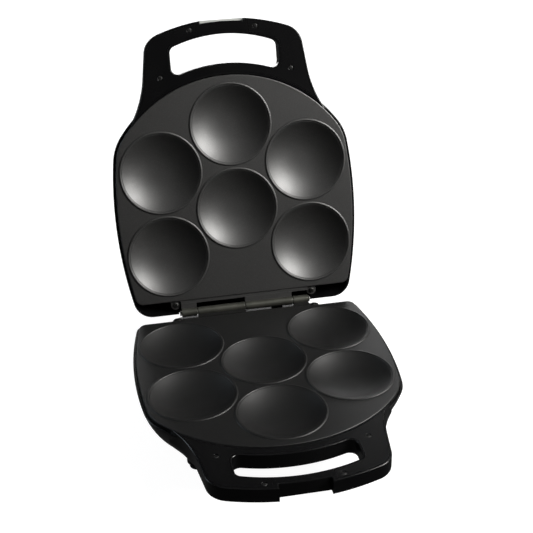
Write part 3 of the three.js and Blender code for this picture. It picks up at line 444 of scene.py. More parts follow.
def inset(points, distance):
    """The outline with every side moved inwards by the distance, or outwards if it is negative."""
    here = np.array(points, float)
    ahead = np.roll(here, -1, axis=0) - here
    ahead /= np.linalg.norm(ahead, axis=1)[:, None]
    behind = np.roll(ahead, 1, axis=0)
    nxt = np.roll(here, -1, axis=0)
    turn = np.sign(np.sum(here[:, 0] * nxt[:, 1] - here[:, 1] * nxt[:, 0]))
    normals = turn * np.stack([-(ahead + behind)[:, 1], (ahead + behind)[:, 0]], axis=1)
    share = 1 + np.sum(ahead * behind, axis=1)
    return [tuple(p) for p in here + distance * normals / share[:, None]]


def quarter(r, steps=5):
    """Steps of a quarter round as (distance in from the wall, distance down from the face)."""
    angles = np.linspace(0, pi / 2, steps + 1) if r else [0]
    return [(r - r * cos(a), r - r * sin(a)) for a in angles]


def stacked(form, points, levels):
    """A ring of the outline at each (distance in, height)."""
    return [form.ring([(x, y, z) for x, y in inset(points, off)]) for off, z in levels]


def slab(points, low, high, low_r=0.0, high_r=0.0):
    """Prism over an outline with rounded lower and upper edges."""
    form = Form()
    levels = [(off, low + rise) for off, rise in quarter(low_r)[::-1]]
    levels += [(off, high - drop) for off, drop in quarter(high_r)]
    return form.capped(stacked(form, points, levels))


def hole(points, low, high, low_r=0.0, high_r=0.0, blind=False):
    """What a hole from high down to low takes away, with rounded mouths. A blind hole ends at low."""
    form = Form()
    levels = [] if blind else [(-low_r, low - HOLE_OVER)]
    levels += [(-off, low + rise) for off, rise in quarter(low_r)[::-1]]
    levels += [(-off, high - drop) for off, drop in quarter(high_r)]
    levels += [(-high_r, high + HOLE_OVER)]
    return form.capped(stacked(form, points, levels))


def block(x0, x1, y0, y1, low, high, r=0.0):
    """Box whose upright edges are rounded by r, and its upper and lower ones by a little less."""
    corners = [(x0, y0), (x1, y0), (x1, y1), (x0, y1)]
    points = rounded(corners, r) if r else corners
    return slab(points, low, high, 0.9 * r, 0.9 * r)


def rounded(corners, r, steps=4, closed=True):
    """Outline with each corner cut by a round of radius r, or less where a side is short."""
    made = []
    count = len(corners)
    for i in range(count):
        if not closed and i in (0, count - 1):
            made.append(corners[i])
            continue
        here = Vector(corners[i])
        back = Vector(corners[i - 1]) - here
        on = Vector(corners[(i + 1) % count]) - here
        half = back.angle(on) / 2
        run = min(r / np.tan(half), CORNER_SHARE * back.length, CORNER_SHARE * on.length)
        start, stop = here + back.normalized() * run, here + on.normalized() * run
        for t in np.linspace(0, 1, steps + 1):
            made.append(tuple((1 - t) ** 2 * start + 2 * t * (1 - t) * here + t * t * stop))
    return made


def along_x(mesh):
    """A prism drawn over (y, z), laid along x."""
    mesh.transform(ALONG_X)
    return mesh


def evaluated(thing):
    """The plain mesh that an object's modifiers make."""
    return bpy.data.meshes.new_from_object(thing.evaluated_get(bpy.context.evaluated_depsgraph_get()))


def joined(mesh):
    return "UNION", mesh


def cut(mesh):
    return "DIFFERENCE", mesh


def assembled(first, *steps):
    """The first mesh after each step of (operation, mesh)."""
    work = linked("work", first)
    tools = []
    for operation, mesh in steps:
        tools.append(linked("tool", mesh))
        step = work.modifiers.new(operation, "BOOLEAN")
        step.operation = operation
        step.solver = "MANIFOLD"
        step.object = tools[-1]
    made = evaluated(work)
    for spent in (work, *tools):
        bpy.data.objects.remove(spent)
    return made


def piece(name, mesh, place, body, finish, nodes, sharp=40):
    """Places a finished mesh, shades it, and hands it to the frame."""
    mesh.transform(place)
    mesh.shade_smooth()
    mesh.set_sharp_from_angle(angle=radians(sharp))
    made = linked(name, mesh)
    weigh = made.modifiers.new("weigh", "WEIGHTED_NORMAL")
    weigh.keep_sharp = True
    made.data = evaluated(made)
    made.modifiers.remove(weigh)
    made.data.name = name
    if finish:
        made.data.materials.clear()
    for coat in finish:
        made.data.materials.append(coat)
    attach(made, body)
    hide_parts(*nodes)
    return made


def tree_of(name, inputs):
    """A new Geometry Nodes tree with named inputs, its graph, and its group input."""
    tree = bpy.data.node_groups.new(name, "GeometryNodeTree")
    tree.interface.new_socket(name="Geometry", in_out="INPUT", socket_type="NodeSocketGeometry")
    for label, kind in inputs.items():
        tree.interface.new_socket(name=label, in_out="INPUT", socket_type="NodeSocket" + kind)
    tree.interface.new_socket(name="Geometry", in_out="OUTPUT", socket_type="NodeSocketGeometry")
    graph = Graph(tree)
    return tree, graph, graph.node("NodeGroupInput")


def grown(tree, mesh, values):
    """The mesh that a Geometry Nodes tree makes from another, with its named inputs set."""
    work = linked("work", mesh)
    grow = work.modifiers.new("grow", "NODES")
    grow.node_group = tree
    for socket in tree.interface.items_tree:
        if socket.in_out == "INPUT" and socket.name in values:
            grow[socket.identifier] = values[socket.name]
    made = evaluated(work)
    bpy.data.objects.remove(work)
    return made


def non_stick_finish(light, gloss):
    """A coating of fine grey flecks, a little uneven in gloss."""
    def finish(graph, place):
        fleck = noise(graph, place, 1500.0, 3.0)
        grain = noise(graph, place, 5200.0, 1.0)
        cloud = noise(graph, place, 14.0, 3.0)
        return {
            "Base Color": shades(graph, fleck, (0.0025, 0.0025, 0.0025), light, 0.42, 0.72),
            "Roughness": 0.43 + 0.05 * cloud + 0.05 * fleck,
            "Specular IOR Level": gloss,
            "Normal": bumped(graph, fleck + 0.6 * grain, 0.3, 0.00014),
        }

    return finish


def hinge_casting_finish(graph, place):
    fleck = noise(graph, place, 900.0, 3.0)
    worn = noise(graph, place, 60.0, 4.0)
    return {
        "Base Color": shades(graph, worn, (0.055, 0.056, 0.048), (0.095, 0.096, 0.082)),
        "Metallic": 0.75,
        "Roughness": 0.38 + 0.12 * fleck,
        "Normal": bumped(graph, fleck, 0.15, 0.0001),
    }


# Both plates carry the same coating. The base's copy is given darker flecks and a weaker specular than the
# lid's as painted shade: a shaded copy of one material, not a different finish.
non_stick = {
    "base": material("non_stick_painted_shade", non_stick_finish((0.008, 0.008, 0.008), 0.45)),
    "lid": material("non_stick", non_stick_finish((0.024, 0.0236, 0.0226), 1.0)),
}
hinge_casting = material("hinge_casting", hinge_casting_finish)


def plate_blank():
    """Closed flat pan, with rings of points where the dishes and beads will be pressed."""
    form = Form()
    outline = body_outline(0)
    edge = [(off, PLATE_TOP - drop) for off, drop in quarter(PLATE_EDGE_R)[::-1]]
    skirt = quarter(SKIRT_EDGE_R, 3)
    edge += [(off, SKIRT_LOW + rise) for off, rise in skirt]
    edge += [(PLATE_SKIN - off, SKIRT_LOW + rise) for off, rise in skirt[::-1]]
    edge.append((PLATE_SKIN, PLATE_UNDER))
    rings = stacked(form, outline, edge)
    form.bands(rings)
    bead_stop = CAVITY_R + BEAD_IN + BEAD_WIDTH
    face_radii = [bead_stop + 0.3, *np.linspace(bead_stop, CAVITY_R + BEAD_IN, 13)]
    face_radii += [CAVITY_R + out for out in LIP_RINGS]
    face_radii += list(np.linspace(CAVITY_R - 2.4, 1.6, 26))
    back_radii = list(np.linspace(CAVITY_R + BACK_REACH, 3, 9))
    for loop, radii, level, steps in (
        (rings[0], face_radii, PLATE_TOP, 120),
        (rings[-1], back_radii, PLATE_UNDER, 48),
    ):
        circles = []
        for x, y in CENTRES:
            dish = [form.ring([(*p, level) for p in circle(x, y, r, steps)]) for r in radii]
            form.bands(dish)
            form.fan(dish[-1], (x, y, level))
            circles.append(dish[0])
        form.fill(loop, circles)
    return form.mesh()


PRESS_SIZES = {
    "Cavity Radius": CAVITY_R,
    "Depth": CAVITY_DEPTH,
    "Power": CAVITY_POWER,
    "Back Reach": BACK_REACH,
    "Bead Start": CAVITY_R + BEAD_IN,
    "Bead Width": BEAD_WIDTH,
    "Bead Height": BEAD_HEIGHT,
    "Face": PLATE_TOP,
}


def press_tree():
    """Presses a dish and a bead round each centre into the pan's face, and the dish's back below it."""
    inputs = {"Centres": "Object", **{label: "Float" for label in PRESS_SIZES}}
    tree, graph, given = tree_of("press_dishes", inputs)
    radius, depth, power, wider, start, width, height, face = [given.output(label) for label in PRESS_SIZES]
    centres = graph.node("GeometryNodeObjectInfo", None, {"Object": given.output("Centres")})
    place = graph.node("ShaderNodeSeparateXYZ", None, {"Vector": graph.node("GeometryNodeInputPosition")})
    flat = graph.node("ShaderNodeCombineXYZ", None, {"X": place, "Y": place.output("Y")})
    near = {"Geometry": centres.output("Geometry"), "Sample Position": flat}
    away = graph.node("GeometryNodeProximity", {"target_element": "POINTS"}, near).output("Distance")
    on_face = place.output("Z") > face - 0.5 * PLATE_SKIN
    reach = radius + wider * (1 - on_face)
    dish = (away < reach) * depth * (1 - (away / reach) ** power)
    across = (away - (start + width / 2)) / (width / 2)
    inside = on_face * (across.math("ABSOLUTE", across) < 1)
    bead = inside * height * (1 - across * across) ** BEAD_ROUND
    lift = graph.node("ShaderNodeCombineXYZ", None, {"Z": bead - dish})
    pressed = {"Geometry": given.output("Geometry"), "Offset": lift}
    made = graph.node("GeometryNodeSetPosition", None, pressed)
    graph.node("NodeGroupOutput", None, {"Geometry": made})
    return tree


def knuckle(x0, x1):
    """Barrel and web of one knuckle, from its section across the hinge."""
    top = PLATE_TOP - KNUCKLE_DROP
    root = STRIP_Y - 1
    meets = pi + asin(-top / KNUCKLE_R)
    section = [(root, -KNUCKLE_R), *arc(HINGE_Y, 0, KNUCKLE_R, -pi / 2, meets, 30), (root, top)]
    return along_x(slab(section, x0, x1, KNUCKLE_EDGE_R, KNUCKLE_EDGE_R))


def point_mesh(places, z=0):
    spots = bpy.data.meshes.new("spots")
    spots.from_pydata([(x, y, z) for x, y in places], [], [])
    return spots


def cooking_plate():
    centres = linked("centres", point_mesh(CENTRES))
    values = {label: float(size) for label, size in PRESS_SIZES.items()}
    pressed = grown(press_tree(), plate_blank(), {"Centres": centres, **values})
    bpy.data.objects.remove(centres)
    start = PLATE_REAR - BURIED
    strip_z = (SKIRT_LOW + STRIP_RISE, PLATE_TOP - STRIP_DROP)
    right = KNUCKLE_LONG + KNUCKLE_GAP * 1.5
    steps = [
        joined(block(-PIN_HALF, PIN_HALF, start, STRIP_Y, *strip_z, STRIP_EDGE_R)),
        joined(knuckle(-KNUCKLE_GAP / 2 - KNUCKLE_LONG, -KNUCKLE_GAP / 2)),
        joined(knuckle(right, right + KNUCKLE_SHORT)),
    ]
    for x in (LUG_X, -LUG_X):
        tongue = [(x + LUG_R, start), *arc(x, LUG_Y, LUG_R, 0, pi, 24), (x - LUG_R, start)]
        steps.append(joined(slab(tongue, LUG_BOTTOM, LUG_TOP, 0.3, 0.5)))
        steps.append(cut(hole(circle(x, LUG_Y, LUG_HOLE_R), LUG_BOTTOM, LUG_TOP, 0.2, 0.3)))
    bore = along_x(slab(circle(HINGE_Y, 0, PIN_R + PIN_PLAY), -PIN_HALF - 1, PIN_HALF + 1))
    return assembled(pressed, *steps, cut(bore))


for half, place in HALVES.items():
    cast = cooking_plate()
    barrel = [hypot(f.center.y - HINGE_Y, f.center.z) < KNUCKLE_R + 0.1 for f in cast.polygons]
    coats = [non_stick[half], hinge_casting]
    made = piece(half + "_cooking_plate", cast, place, half, coats, [half + "_plate"])
    made.data.polygons.foreach_set("material_index", np.array(barrel, np.int32))


# ---------------------------------------------------------------- housings
# One black injection moulding for each half: a bowl round the plate, drawn in to a flat crown, that grows
# into half of the loop handle. The base also has the block under the hinge, the lid a hood over it.

WALL = 2.4
RIM_OVER = 3
RIM_DROP = 4.3
RIM_EDGE_R = 0.9
SHELL_DEPTH = 44
CROWN = 32
CROWN_POWER = 1.2
HOOD = 12
HOOD_CORNER_R = 17
HOOD_NOTCH = 8.4
HANDLE_TOP = -1
HANDLE_BOTTOM = -16.5
HANDLE_ROOT = -26
HANDLE_FLARE_IN = 47  # how far the flared sides run back beside the plate
HANDLE_DEEP_FROM = 4
HANDLE_DEEP_RUN = 31
HANDLE_LOW_R = 2.6
HANDLE_TOP_R = 1.1
REAR_BAR = 12
SLOT_GAP = 29.5
FRONT_BAR = 15.5
SCREW_SHARE = 0.36  # of the front bar, from the slot to its screws
SLOT_HALF = 56
SLOT_ARC_R = 147
SLOT_CORNER_R = 7
SLOT_MOUTH_R = 1.2
NOTCH_MOUTH_R = 0.8
HANDLE_ARC_R = 200
HANDLE_HALF = 85.5
HANDLE_TAPER = radians(8)
HANDLE_CORNER_R = 22
HANDLE_FLARE_R = 110
SOLID_HALF = 27.5
COVER_T = 2.6
NOTCH_HALF = 23
NOTCH_DEEP = 6
LATCH_ANGLE = radians(joints["latch_hinge"]["range_deg"][1])
LATCH_AXIS_Z = -9
LATCH_AXIS_OUT = 2.6
LATCH_PIN_R = 1
LATCH_LIP = 3
LATCH_LIP_T = 2.6
LATCH_HOOK_T = 2.5
LATCH_HOOK = 1.7
LATCH_ROOM = 0.6
LATCH_POCKET = 1.9
BLOCK_HALF = 81
BLOCK_REACH = 22.5
BLOCK_TOP = -12
BLOCK_CORNER_R = 14
BLOCK_IN = 40
STOP_X = 36
STOP_W = 12
STOP_TOP = -3.6
STOP_GAP = 0.7
POST_R = 3
LUG_POST_R = 5.8
PILOT_SHARE = 0.4  # of a post's radius
PILOT_R = 1.5
HINGE_CLEAR = 2.2  # room left at each end of the hinge barrel
FOOT_R = 8
FOOT_H = 6
GLAND_X = -44
GLAND_R = 5
LENS_R = 4
LENS_X = 14
LENS_Y = -96

RIM_REAR = PLATE_REAR + RIM_OVER
HOOD_REAR = RIM_REAR + HOOD
SLOT_REAR = PLATE_FRONT_R + REAR_BAR
SLOT_FRONT = SLOT_REAR + SLOT_GAP
HANDLE_FRONT = SLOT_FRONT + FRONT_BAR
HANDLE_ARC_Y = HANDLE_ARC_R - HANDLE_FRONT
BLOCK_REAR = RIM_REAR + BLOCK_REACH
GLAND_PLACE = (GLAND_X, BLOCK_REAR, (BLOCK_TOP - SHELL_DEPTH) / 2)
AT_GLAND = Matrix.Translation(GLAND_PLACE) @ Matrix.Rotation(-pi / 2, 4, "X")
NOTCH_FLOOR_Y = NOTCH_DEEP - HANDLE_FRONT
LATCH_AXIS_Y = NOTCH_FLOOR_Y - LATCH_AXIS_OUT
REAR_FOOT_Y = BLOCK_REAR - 15
FEET = [(-80, -88), (80, -88), (-58, REAR_FOOT_Y), (58, REAR_FOOT_Y)]
COVER_SCREWS = [(x, -(PLATE_FRONT_R + 2)) for x in (68, -68)]
COVER_SCREWS += [(x, -(SLOT_FRONT + SCREW_SHARE * FRONT_BAR)) for x in (34, -34)]


def moulded_finish(fine, broad, rough, relief):
    """Glossy black plastic with the fine grain of its mould, cloudy where hands and heat have been."""
    def finish(graph, place):
        grain = noise(graph, place, fine, 2.0)
        cloud = noise(graph, place, broad, 3.0)
        return {
            "Base Color": shades(graph, cloud, (0.0015, 0.0015, 0.0018), (0.0028, 0.0028, 0.003)),
            "Roughness": rough + 0.08 * cloud,
            "Specular IOR Level": 0.34,
            "Normal": bumped(graph, grain, relief, 0.00008),
        }

    return finish


black_plastic = material("black_plastic", moulded_finish(2600.0, 22.0, 0.22, 0.025))


def bowl(rear, corner, thin, edge_r=0.0):
    """A housing's bowl as a closed solid. thin draws every wall in, for the hollow inside it."""
    outline = body_outline(RIM_OVER - thin, rear, corner)
    middle = (rear - PLATE_FRONT_R) / 2
    half_x = PLATE_HALF + RIM_OVER - thin
    half_y = rear + RIM_OVER - thin - middle
    depth = SHELL_DEPTH - thin - RIM_DROP
    angles = np.linspace(pi / 2, 0, 41)
    levels = [(depth * sin(a) ** (2 / CROWN_POWER), CROWN * (1 - cos(a))) for a in angles]
    levels = [(drop, off) for drop, off in levels if drop > 1.2 * edge_r]
    levels += [(drop, off) for off, drop in quarter(edge_r)]
    if thin:
        levels.append((-RIM_DROP, 0))
    form = Form()
    rings = []
    for drop, off in levels:
        x_share, y_share = 1 - off / half_x, 1 - off / half_y
        ring = [(x * x_share, middle + (y - middle) * y_share, -RIM_DROP - drop) for x, y in outline]
        rings.append(form.ring(ring))
    return form.capped(rings)


def handle_outline():
    """The handle from inside the housing to its front: flared roots, tapered sides and a bowed front."""
    side_y = -(PLATE_FRONT_R + 1)
    out = (cos(HANDLE_TAPER), -sin(HANDLE_TAPER))
    forward = (-sin(HANDLE_TAPER), -cos(HANDLE_TAPER))
    flare_x = HANDLE_HALF + HANDLE_FLARE_R * out[0]
    flare_y = side_y + HANDLE_FLARE_R * out[1]
    root = asin((HANDLE_FLARE_IN - PLATE_FRONT_R - flare_y) / HANDLE_FLARE_R)
    # The corner touches the tapered side and, from inside, the front arc.
    start = (HANDLE_HALF - HANDLE_CORNER_R * out[0], side_y - HANDLE_CORNER_R * out[1] - HANDLE_ARC_Y)
    along = start[0] * forward[0] + start[1] * forward[1]
    short = start[0] ** 2 + start[1] ** 2 - (HANDLE_ARC_R - HANDLE_CORNER_R) ** 2
    run = sqrt(along**2 - short) - along
    corner = (start[0] + forward[0] * run, start[1] + HANDLE_ARC_Y + forward[1] * run)
    front = atan2(corner[1] - HANDLE_ARC_Y, corner[0])
    right = arc(flare_x, flare_y, HANDLE_FLARE_R, pi - root, pi - HANDLE_TAPER, 20)
    right += arc(*corner, HANDLE_CORNER_R, -HANDLE_TAPER, front, 18)
    right += arc(0, HANDLE_ARC_Y, HANDLE_ARC_R, front, -pi / 2, 22)[1:]
    return mirrored(right)


def bowl_draw(z):
    """Distance that a bowl's wall has drawn in at the height z."""
    share = np.clip((-RIM_DROP - z) / (SHELL_DEPTH - RIM_DROP), 0, 1)
    return CROWN * (1 - np.sqrt(1 - share**CROWN_POWER))


def handle_block():
    """Outer form of the handle. Its root deepens, and there its sides draw in as the bowl's do."""
    outline = handle_outline()
    share = (np.array(outline)[:, 1] + PLATE_FRONT_R - HANDLE_DEEP_FROM) / HANDLE_DEEP_RUN
    share = np.clip(share, 0, 1)
    share = share * share * (3 - 2 * share)
    floor = HANDLE_BOTTOM + (HANDLE_ROOT - HANDLE_BOTTOM) * share
    levels = [(off, floor + rise) for off, rise in quarter(HANDLE_LOW_R)[::-1]]
    for up in np.linspace(0, 1, 7)[1:]:
        levels.append((0, floor + HANDLE_LOW_R + up * (HANDLE_BOTTOM - floor)))
    levels += [(off, np.full_like(floor, HANDLE_TOP - drop)) for off, drop in quarter(HANDLE_TOP_R)]
    form = Form()
    rings = []
    for off, heights in levels:
        drawn = share * np.maximum(0, bowl_draw(heights) - bowl_draw(HANDLE_BOTTOM))
        here = zip(inset(outline, off), drawn, heights)
        rings.append(form.ring([(x - np.sign(x) * in_by, y, z) for (x, y), in_by, z in here]))
    form.bands(rings)
    form.ladder(rings[0])
    form.faces.append(tuple(rings[-1]))
    return form.mesh()


def slot_outline():
    """Finger slot: two bowed sides and two rounded ends."""
    rear_y, front_y = SLOT_ARC_R - SLOT_REAR, SLOT_ARC_R - SLOT_FRONT
    x = SLOT_HALF - SLOT_CORNER_R
    rear_corner = rear_y - sqrt((SLOT_ARC_R + SLOT_CORNER_R) ** 2 - x**2)
    front_corner = front_y - sqrt((SLOT_ARC_R - SLOT_CORNER_R) ** 2 - x**2)
    rear = atan2(rear_corner - rear_y, x)
    front = atan2(front_corner - front_y, x)
    right = arc(0, rear_y, SLOT_ARC_R, -pi / 2, rear, 14)
    right += arc(x, rear_corner, SLOT_CORNER_R, rear + pi, 0, 12)[1:]
    right += arc(x, front_corner, SLOT_CORNER_R, 0, front, 12)
    right += arc(0, front_y, SLOT_ARC_R, front, -pi / 2, 14)[1:]
    return mirrored(right)


def notch_outline(deep):
    """Cut-out for the latch in the handle's front."""
    r = HANDLE_ARC_R - deep
    spread = asin(NOTCH_HALF / r)
    front = -HANDLE_FRONT - 10
    floor_line = arc(0, HANDLE_ARC_Y, r, -pi / 2 - spread, -pi / 2 + spread, 12)
    return [(-NOTCH_HALF, front), *floor_line, (NOTCH_HALF, front)]


def handle_room(gap, low, high):
    """Space between the handle's walls, less a gap all round. Its front is solid behind the latch."""
    half = SOLID_HALF + gap
    bar_y = SLOT_ARC_R - SLOT_FRONT - sqrt(SLOT_ARC_R**2 - half**2) + 1
    return assembled(
        slab(inset(handle_outline(), WALL + gap), low, high),
        cut(slab(body_outline(RIM_OVER + gap), low - 1, high + 1)),
        cut(slab(inset(slot_outline(), -WALL - gap), low - 1, high + 1)),
        cut(block(-half, half, -HANDLE_FRONT, bar_y, low - 1, high + 1)),
    )


def drilled_post(x, y, r, low, high):
    """Steps that add a round post and drill its pilot hole."""
    drill = hole(circle(x, y, PILOT_SHARE * r, 20), low + 1.2, high, 0, 0.2, True)
    return [joined(slab(circle(x, y, r, 32), low, high, 0, 0.3)), cut(drill)]


def housing(rear, corner):
    """Steps that both housings share, after the outer bowl."""
    rear -= RIM_OVER
    floor_z = HANDLE_BOTTOM + WALL
    slot = hole(slot_outline(), HANDLE_BOTTOM, HANDLE_TOP, SLOT_MOUTH_R, SLOT_MOUTH_R)
    steps = [
        joined(handle_block()),
        cut(bowl(rear, corner, WALL)),
        cut(handle_room(0, floor_z, HANDLE_TOP + 1)),
        cut(slot),
    ]
    for x, y in COVER_SCREWS:
        steps += drilled_post(x, y, POST_R, floor_z - 0.6, HANDLE_TOP - COVER_T - FIT)
    return steps


def base_housing():
    right = arc(BLOCK_HALF - BLOCK_CORNER_R, BLOCK_REAR - BLOCK_CORNER_R, BLOCK_CORNER_R, pi / 2, 0, 14)
    rear_line = mirrored([*right, (BLOCK_HALF, PLATE_REAR - BLOCK_IN)])
    hollow = slab(inset(rear_line, WALL), -SHELL_DEPTH + WALL, BLOCK_TOP - WALL)
    rear_block = slab(rear_line, -SHELL_DEPTH, BLOCK_TOP, 3, 1.5)
    steps = [joined(rear_block), *housing(RIM_REAR, PLATE_CORNER_R), cut(hollow)]
    for side in (1, -1):
        x = side * STOP_X
        rib_y = HINGE_Y + KNUCKLE_R + STOP_GAP
        rib = (x - STOP_W / 2, x + STOP_W / 2, rib_y, BLOCK_REAR - 2, BLOCK_TOP - WALL / 2, STOP_TOP, 1.2)
        steps.append(joined(block(*rib)))
        steps += drilled_post(side * LUG_X, LUG_Y, LUG_POST_R, BLOCK_TOP - WALL, LUG_BOTTOM - FIT)
    # The rear wall drops under the hinge strip, the knuckles' webs and the lugs.
    clear = LUG_X + LUG_R + 1.5
    steps.append(cut(block(-clear, clear, PLATE_REAR - 6, RIM_REAR + 0.01, LUG_BOTTOM - FIT, 0)))
    for x, y in FEET:
        boss = slab(circle(x, y, FOOT_R + 1.5), -SHELL_DEPTH + 0.02, -SHELL_DEPTH + 4 + WALL)
        steps.append(joined(boss))
        steps.append(cut(hole(circle(x, y, PILOT_R, 20), -SHELL_DEPTH, -SHELL_DEPTH + 5)))
    notch = hole(notch_outline(NOTCH_DEEP), HANDLE_BOTTOM, HANDLE_TOP, NOTCH_MOUTH_R, NOTCH_MOUTH_R)
    steps.append(cut(notch))
    under = (-HANDLE_FRONT, NOTCH_FLOOR_Y + LATCH_HOOK + LATCH_ROOM, HANDLE_BOTTOM - 1)
    hook_room = block(-NOTCH_HALF, NOTCH_HALF, *under, HANDLE_BOTTOM + LATCH_HOOK_T)
    steps.append(cut(hook_room))
    gland_hole = slab(circle(0, 0, GLAND_R + FIT), -2 * WALL, WALL)
    gland_hole.transform(AT_GLAND)
    steps.append(cut(gland_hole))
    return assembled(bowl(PLATE_REAR, PLATE_CORNER_R, 0, RIM_EDGE_R), *steps)


def lid_housing():
    inside = bowl(HOOD_REAR - RIM_OVER, HOOD_CORNER_R, WALL / 2)
    steps = housing(HOOD_REAR, HOOD_CORNER_R)
    notch = hole(notch_outline(NOTCH_DEEP - LATCH_LIP), HANDLE_BOTTOM, HANDLE_TOP, 0, NOTCH_MOUTH_R)
    steps.append(cut(notch))
    # Pocket behind the lip, for the latch's barrel and its folded arm.
    lip, bend, bottom = HANDLE_TOP - LATCH_LIP_T, LATCH_AXIS_Z + LATCH_ROOM, HANDLE_BOTTOM - 1
    back = NOTCH_FLOOR_Y + LATCH_POCKET
    far = back + (bend - bottom) * tan(LATCH_ANGLE - pi)
    front = -HANDLE_FRONT - 5
    pocket = [(front, lip), (back, lip), (back, bend), (far, bottom), (front, bottom)]
    steps.append(cut(along_x(slab(pocket, -NOTCH_HALF, NOTCH_HALF))))
    pin_half = SOLID_HALF - 0.6
    pin_room = slab(circle(LATCH_AXIS_Y, LATCH_AXIS_Z, LATCH_PIN_R + PIN_PLAY), -pin_half, pin_half)
    steps.append(cut(along_x(pin_room)))
    # The hood is cut out round the hinge barrel.
    clear = PIN_HALF + HINGE_CLEAR
    steps.append(cut(block(-clear, clear, HINGE_Y - 4, HOOD_REAR + 1, -HOOD_NOTCH, 0)))
    for x in (LUG_X, -LUG_X):
        post = slab(circle(x, LUG_Y, LUG_POST_R, 32), -SHELL_DEPTH, LUG_BOTTOM - FIT)
        steps.append(joined(assembled(post, ("INTERSECT", inside))))
        steps.append(cut(hole(circle(x, LUG_Y, PILOT_R, 20), LUG_BOTTOM - 14, 0, 0, 0, True)))
    for x in (LENS_X, -LENS_X):
        lens_hole = hole(circle(x, LENS_Y, LENS_R + FIT), -SHELL_DEPTH, -SHELL_DEPTH + 4)
        steps.append(cut(lens_hole))
    return assembled(bowl(HOOD_REAR - RIM_OVER, HOOD_CORNER_R, 0, RIM_EDGE_R), *steps)


for half, moulding in (("base", base_housing()), ("lid", lid_housing())):
    piece(half + "_housing", moulding, HALVES[half], half, [black_plastic], [half + "_shell"])


# ---------------------------------------------------------------- handle covers
# A flat plate of the same plastic closes each half of the handle. It drops in flush between the walls,
# and four screws hold it in counterbores.

SEAM = 0.12
COUNTERBORE_R = 2.7
COUNTERBORE_DEEP = 1.5

cover_plastic = material("cover_plastic", moulded_finish(2200.0, 16.0, 0.24, 0.03))


def handle_cover():
    low = HANDLE_TOP - COVER_T
    steps = []
    for x, y in COVER_SCREWS:
        steps.append(cut(hole(circle(x, y, PILOT_R, 24), low, HANDLE_TOP)))
        sunk = hole(circle(x, y, COUNTERBORE_R), HANDLE_TOP - COUNTERBORE_DEEP, HANDLE_TOP, 0, 0.3, True)
        steps.append(cut(sunk))
    return assembled(handle_room(SEAM, low, HANDLE_TOP), *steps)


for half, place in HALVES.items():
    cover = [half + "_handle_cover"]
    piece(cover[0] + "_plate", handle_cover(), place, half, [cover_plastic], cover)


# ---------------------------------------------------------------- hinge pin
# A plain steel pin, headed at one end, through the knuckles of both castings. A ring is pressed on its
# other end.

PIN_HEAD = 1.2
PIN_HEAD_R = PIN_R + 1.3
PIN_END = 1.8
RING_T = 1


def grained(scale, detail, dark, light, rough, relief=None, stretch=None, also=None):
    """A finish whose colour, roughness (least, spread) and relief (strength, depth) follow one noise."""
    def finish(graph, place):
        if stretch:
            place = graph.node("ShaderNodeMapping", None, {"Vector": place, "Scale": stretch})
        grain = noise(graph, place, scale, detail)
        made = {"Base Color": shades(graph, grain, dark, light), "Roughness": rough[0] + rough[1] * grain}
        if relief:
            made["Normal"] = bumped(graph, grain, *relief)
        return {**made, **(also or {})}

    return finish


bright_steel = material("bright_steel", grained(
    1.0, 3.0, (0.14, 0.14, 0.13), (0.24, 0.24, 0.23), (0.26, 0.14), (0.08, 0.00005),
    (120, 2400, 2400), {"Metallic": 1.0},
))


def turned(profile, places=((0, 0),), steps=40):
    """A turned solid at each (x, y). Its profile of (radius, z) ends on the axis or closes on itself."""
    form = Form()
    for x, y in places:
        solid_profile = [p for p in profile if p[0] > TINY]
        rings = [form.ring([(*p, z) for p in circle(x, y, r, steps)]) for r, z in solid_profile]
        form.bands(rings)
        if profile[0][0] > TINY:
            form.band(rings[-1], rings[0])
        else:
            form.fan(rings[0], (x, y, profile[0][1]))
            form.fan(rings[-1], (x, y, profile[-1][1]))
    return form.mesh()


def on_hinge(profile, r, closed):
    """A piece turned about the hinge's axis, its profile's corners rounded by r."""
    made = along_x(turned(rounded(profile, r, closed=closed)))
    made.transform(Matrix.Translation((0, HINGE_Y, 0)))
    return made


head, end = -PIN_HALF - FIT, PIN_HALF + PIN_END
pin_profile = [(0, head - PIN_HEAD), (PIN_HEAD_R, head - PIN_HEAD), (PIN_HEAD_R, head), (PIN_R, head)]
hinge_pin = on_hinge([*pin_profile, (PIN_R, end), (0, end)], 0.45, False)
inner, low, high = PIN_R + 0.05, PIN_HALF + FIT, PIN_HALF + FIT + RING_T
ring_profile = [(inner, low), (PIN_HEAD_R, low), (PIN_HEAD_R, high), (inner, high)]
hinge_ring = on_hinge(ring_profile, 0.25, True)
piece("hinge_pin_turned", hinge_pin, HALVES["base"], "base", [bright_steel], ["hinge_pin"])
piece("hinge_pin_ring", hinge_ring, HALVES["base"], "base", [bright_steel], ["hinge_pin_clip"])


# ---------------------------------------------------------------- latch
# A plated strip rolled to a barrel on its own pin, behind a lip of the lid's handle. Its pale colour is
# partly
# # painted highlight, standing in for the bright line of light along the barrel's top. It is folded back
# while the maker is open, and its bent end hooks under the base's handle when it is shut.

LATCH_BARREL_R = 2.4
LATCH_ARM_OUT = 1.8
LATCH_ARM_T = 2.2
LATCH_BEND_R = 0.7
LATCH_ROLLED = radians(116)  # where the arm leaves the barrel
LATCH_SIDE_GAP = 0.8
LATCH_HOOK_GAP = 0.4

# Pale grey and partly metallic: partly the latch's own plating, partly a painted highlight for its lit top.
latch_plated_and_highlight = material("latch_plated_and_painted_highlight", grained(
    1.0, 4.0, (0.48, 0.5, 0.48), (0.64, 0.66, 0.63), (0.3, 0.12), (0.06, 0.00005),
    (60, 1800, 1800), {"Metallic": 0.45},
))


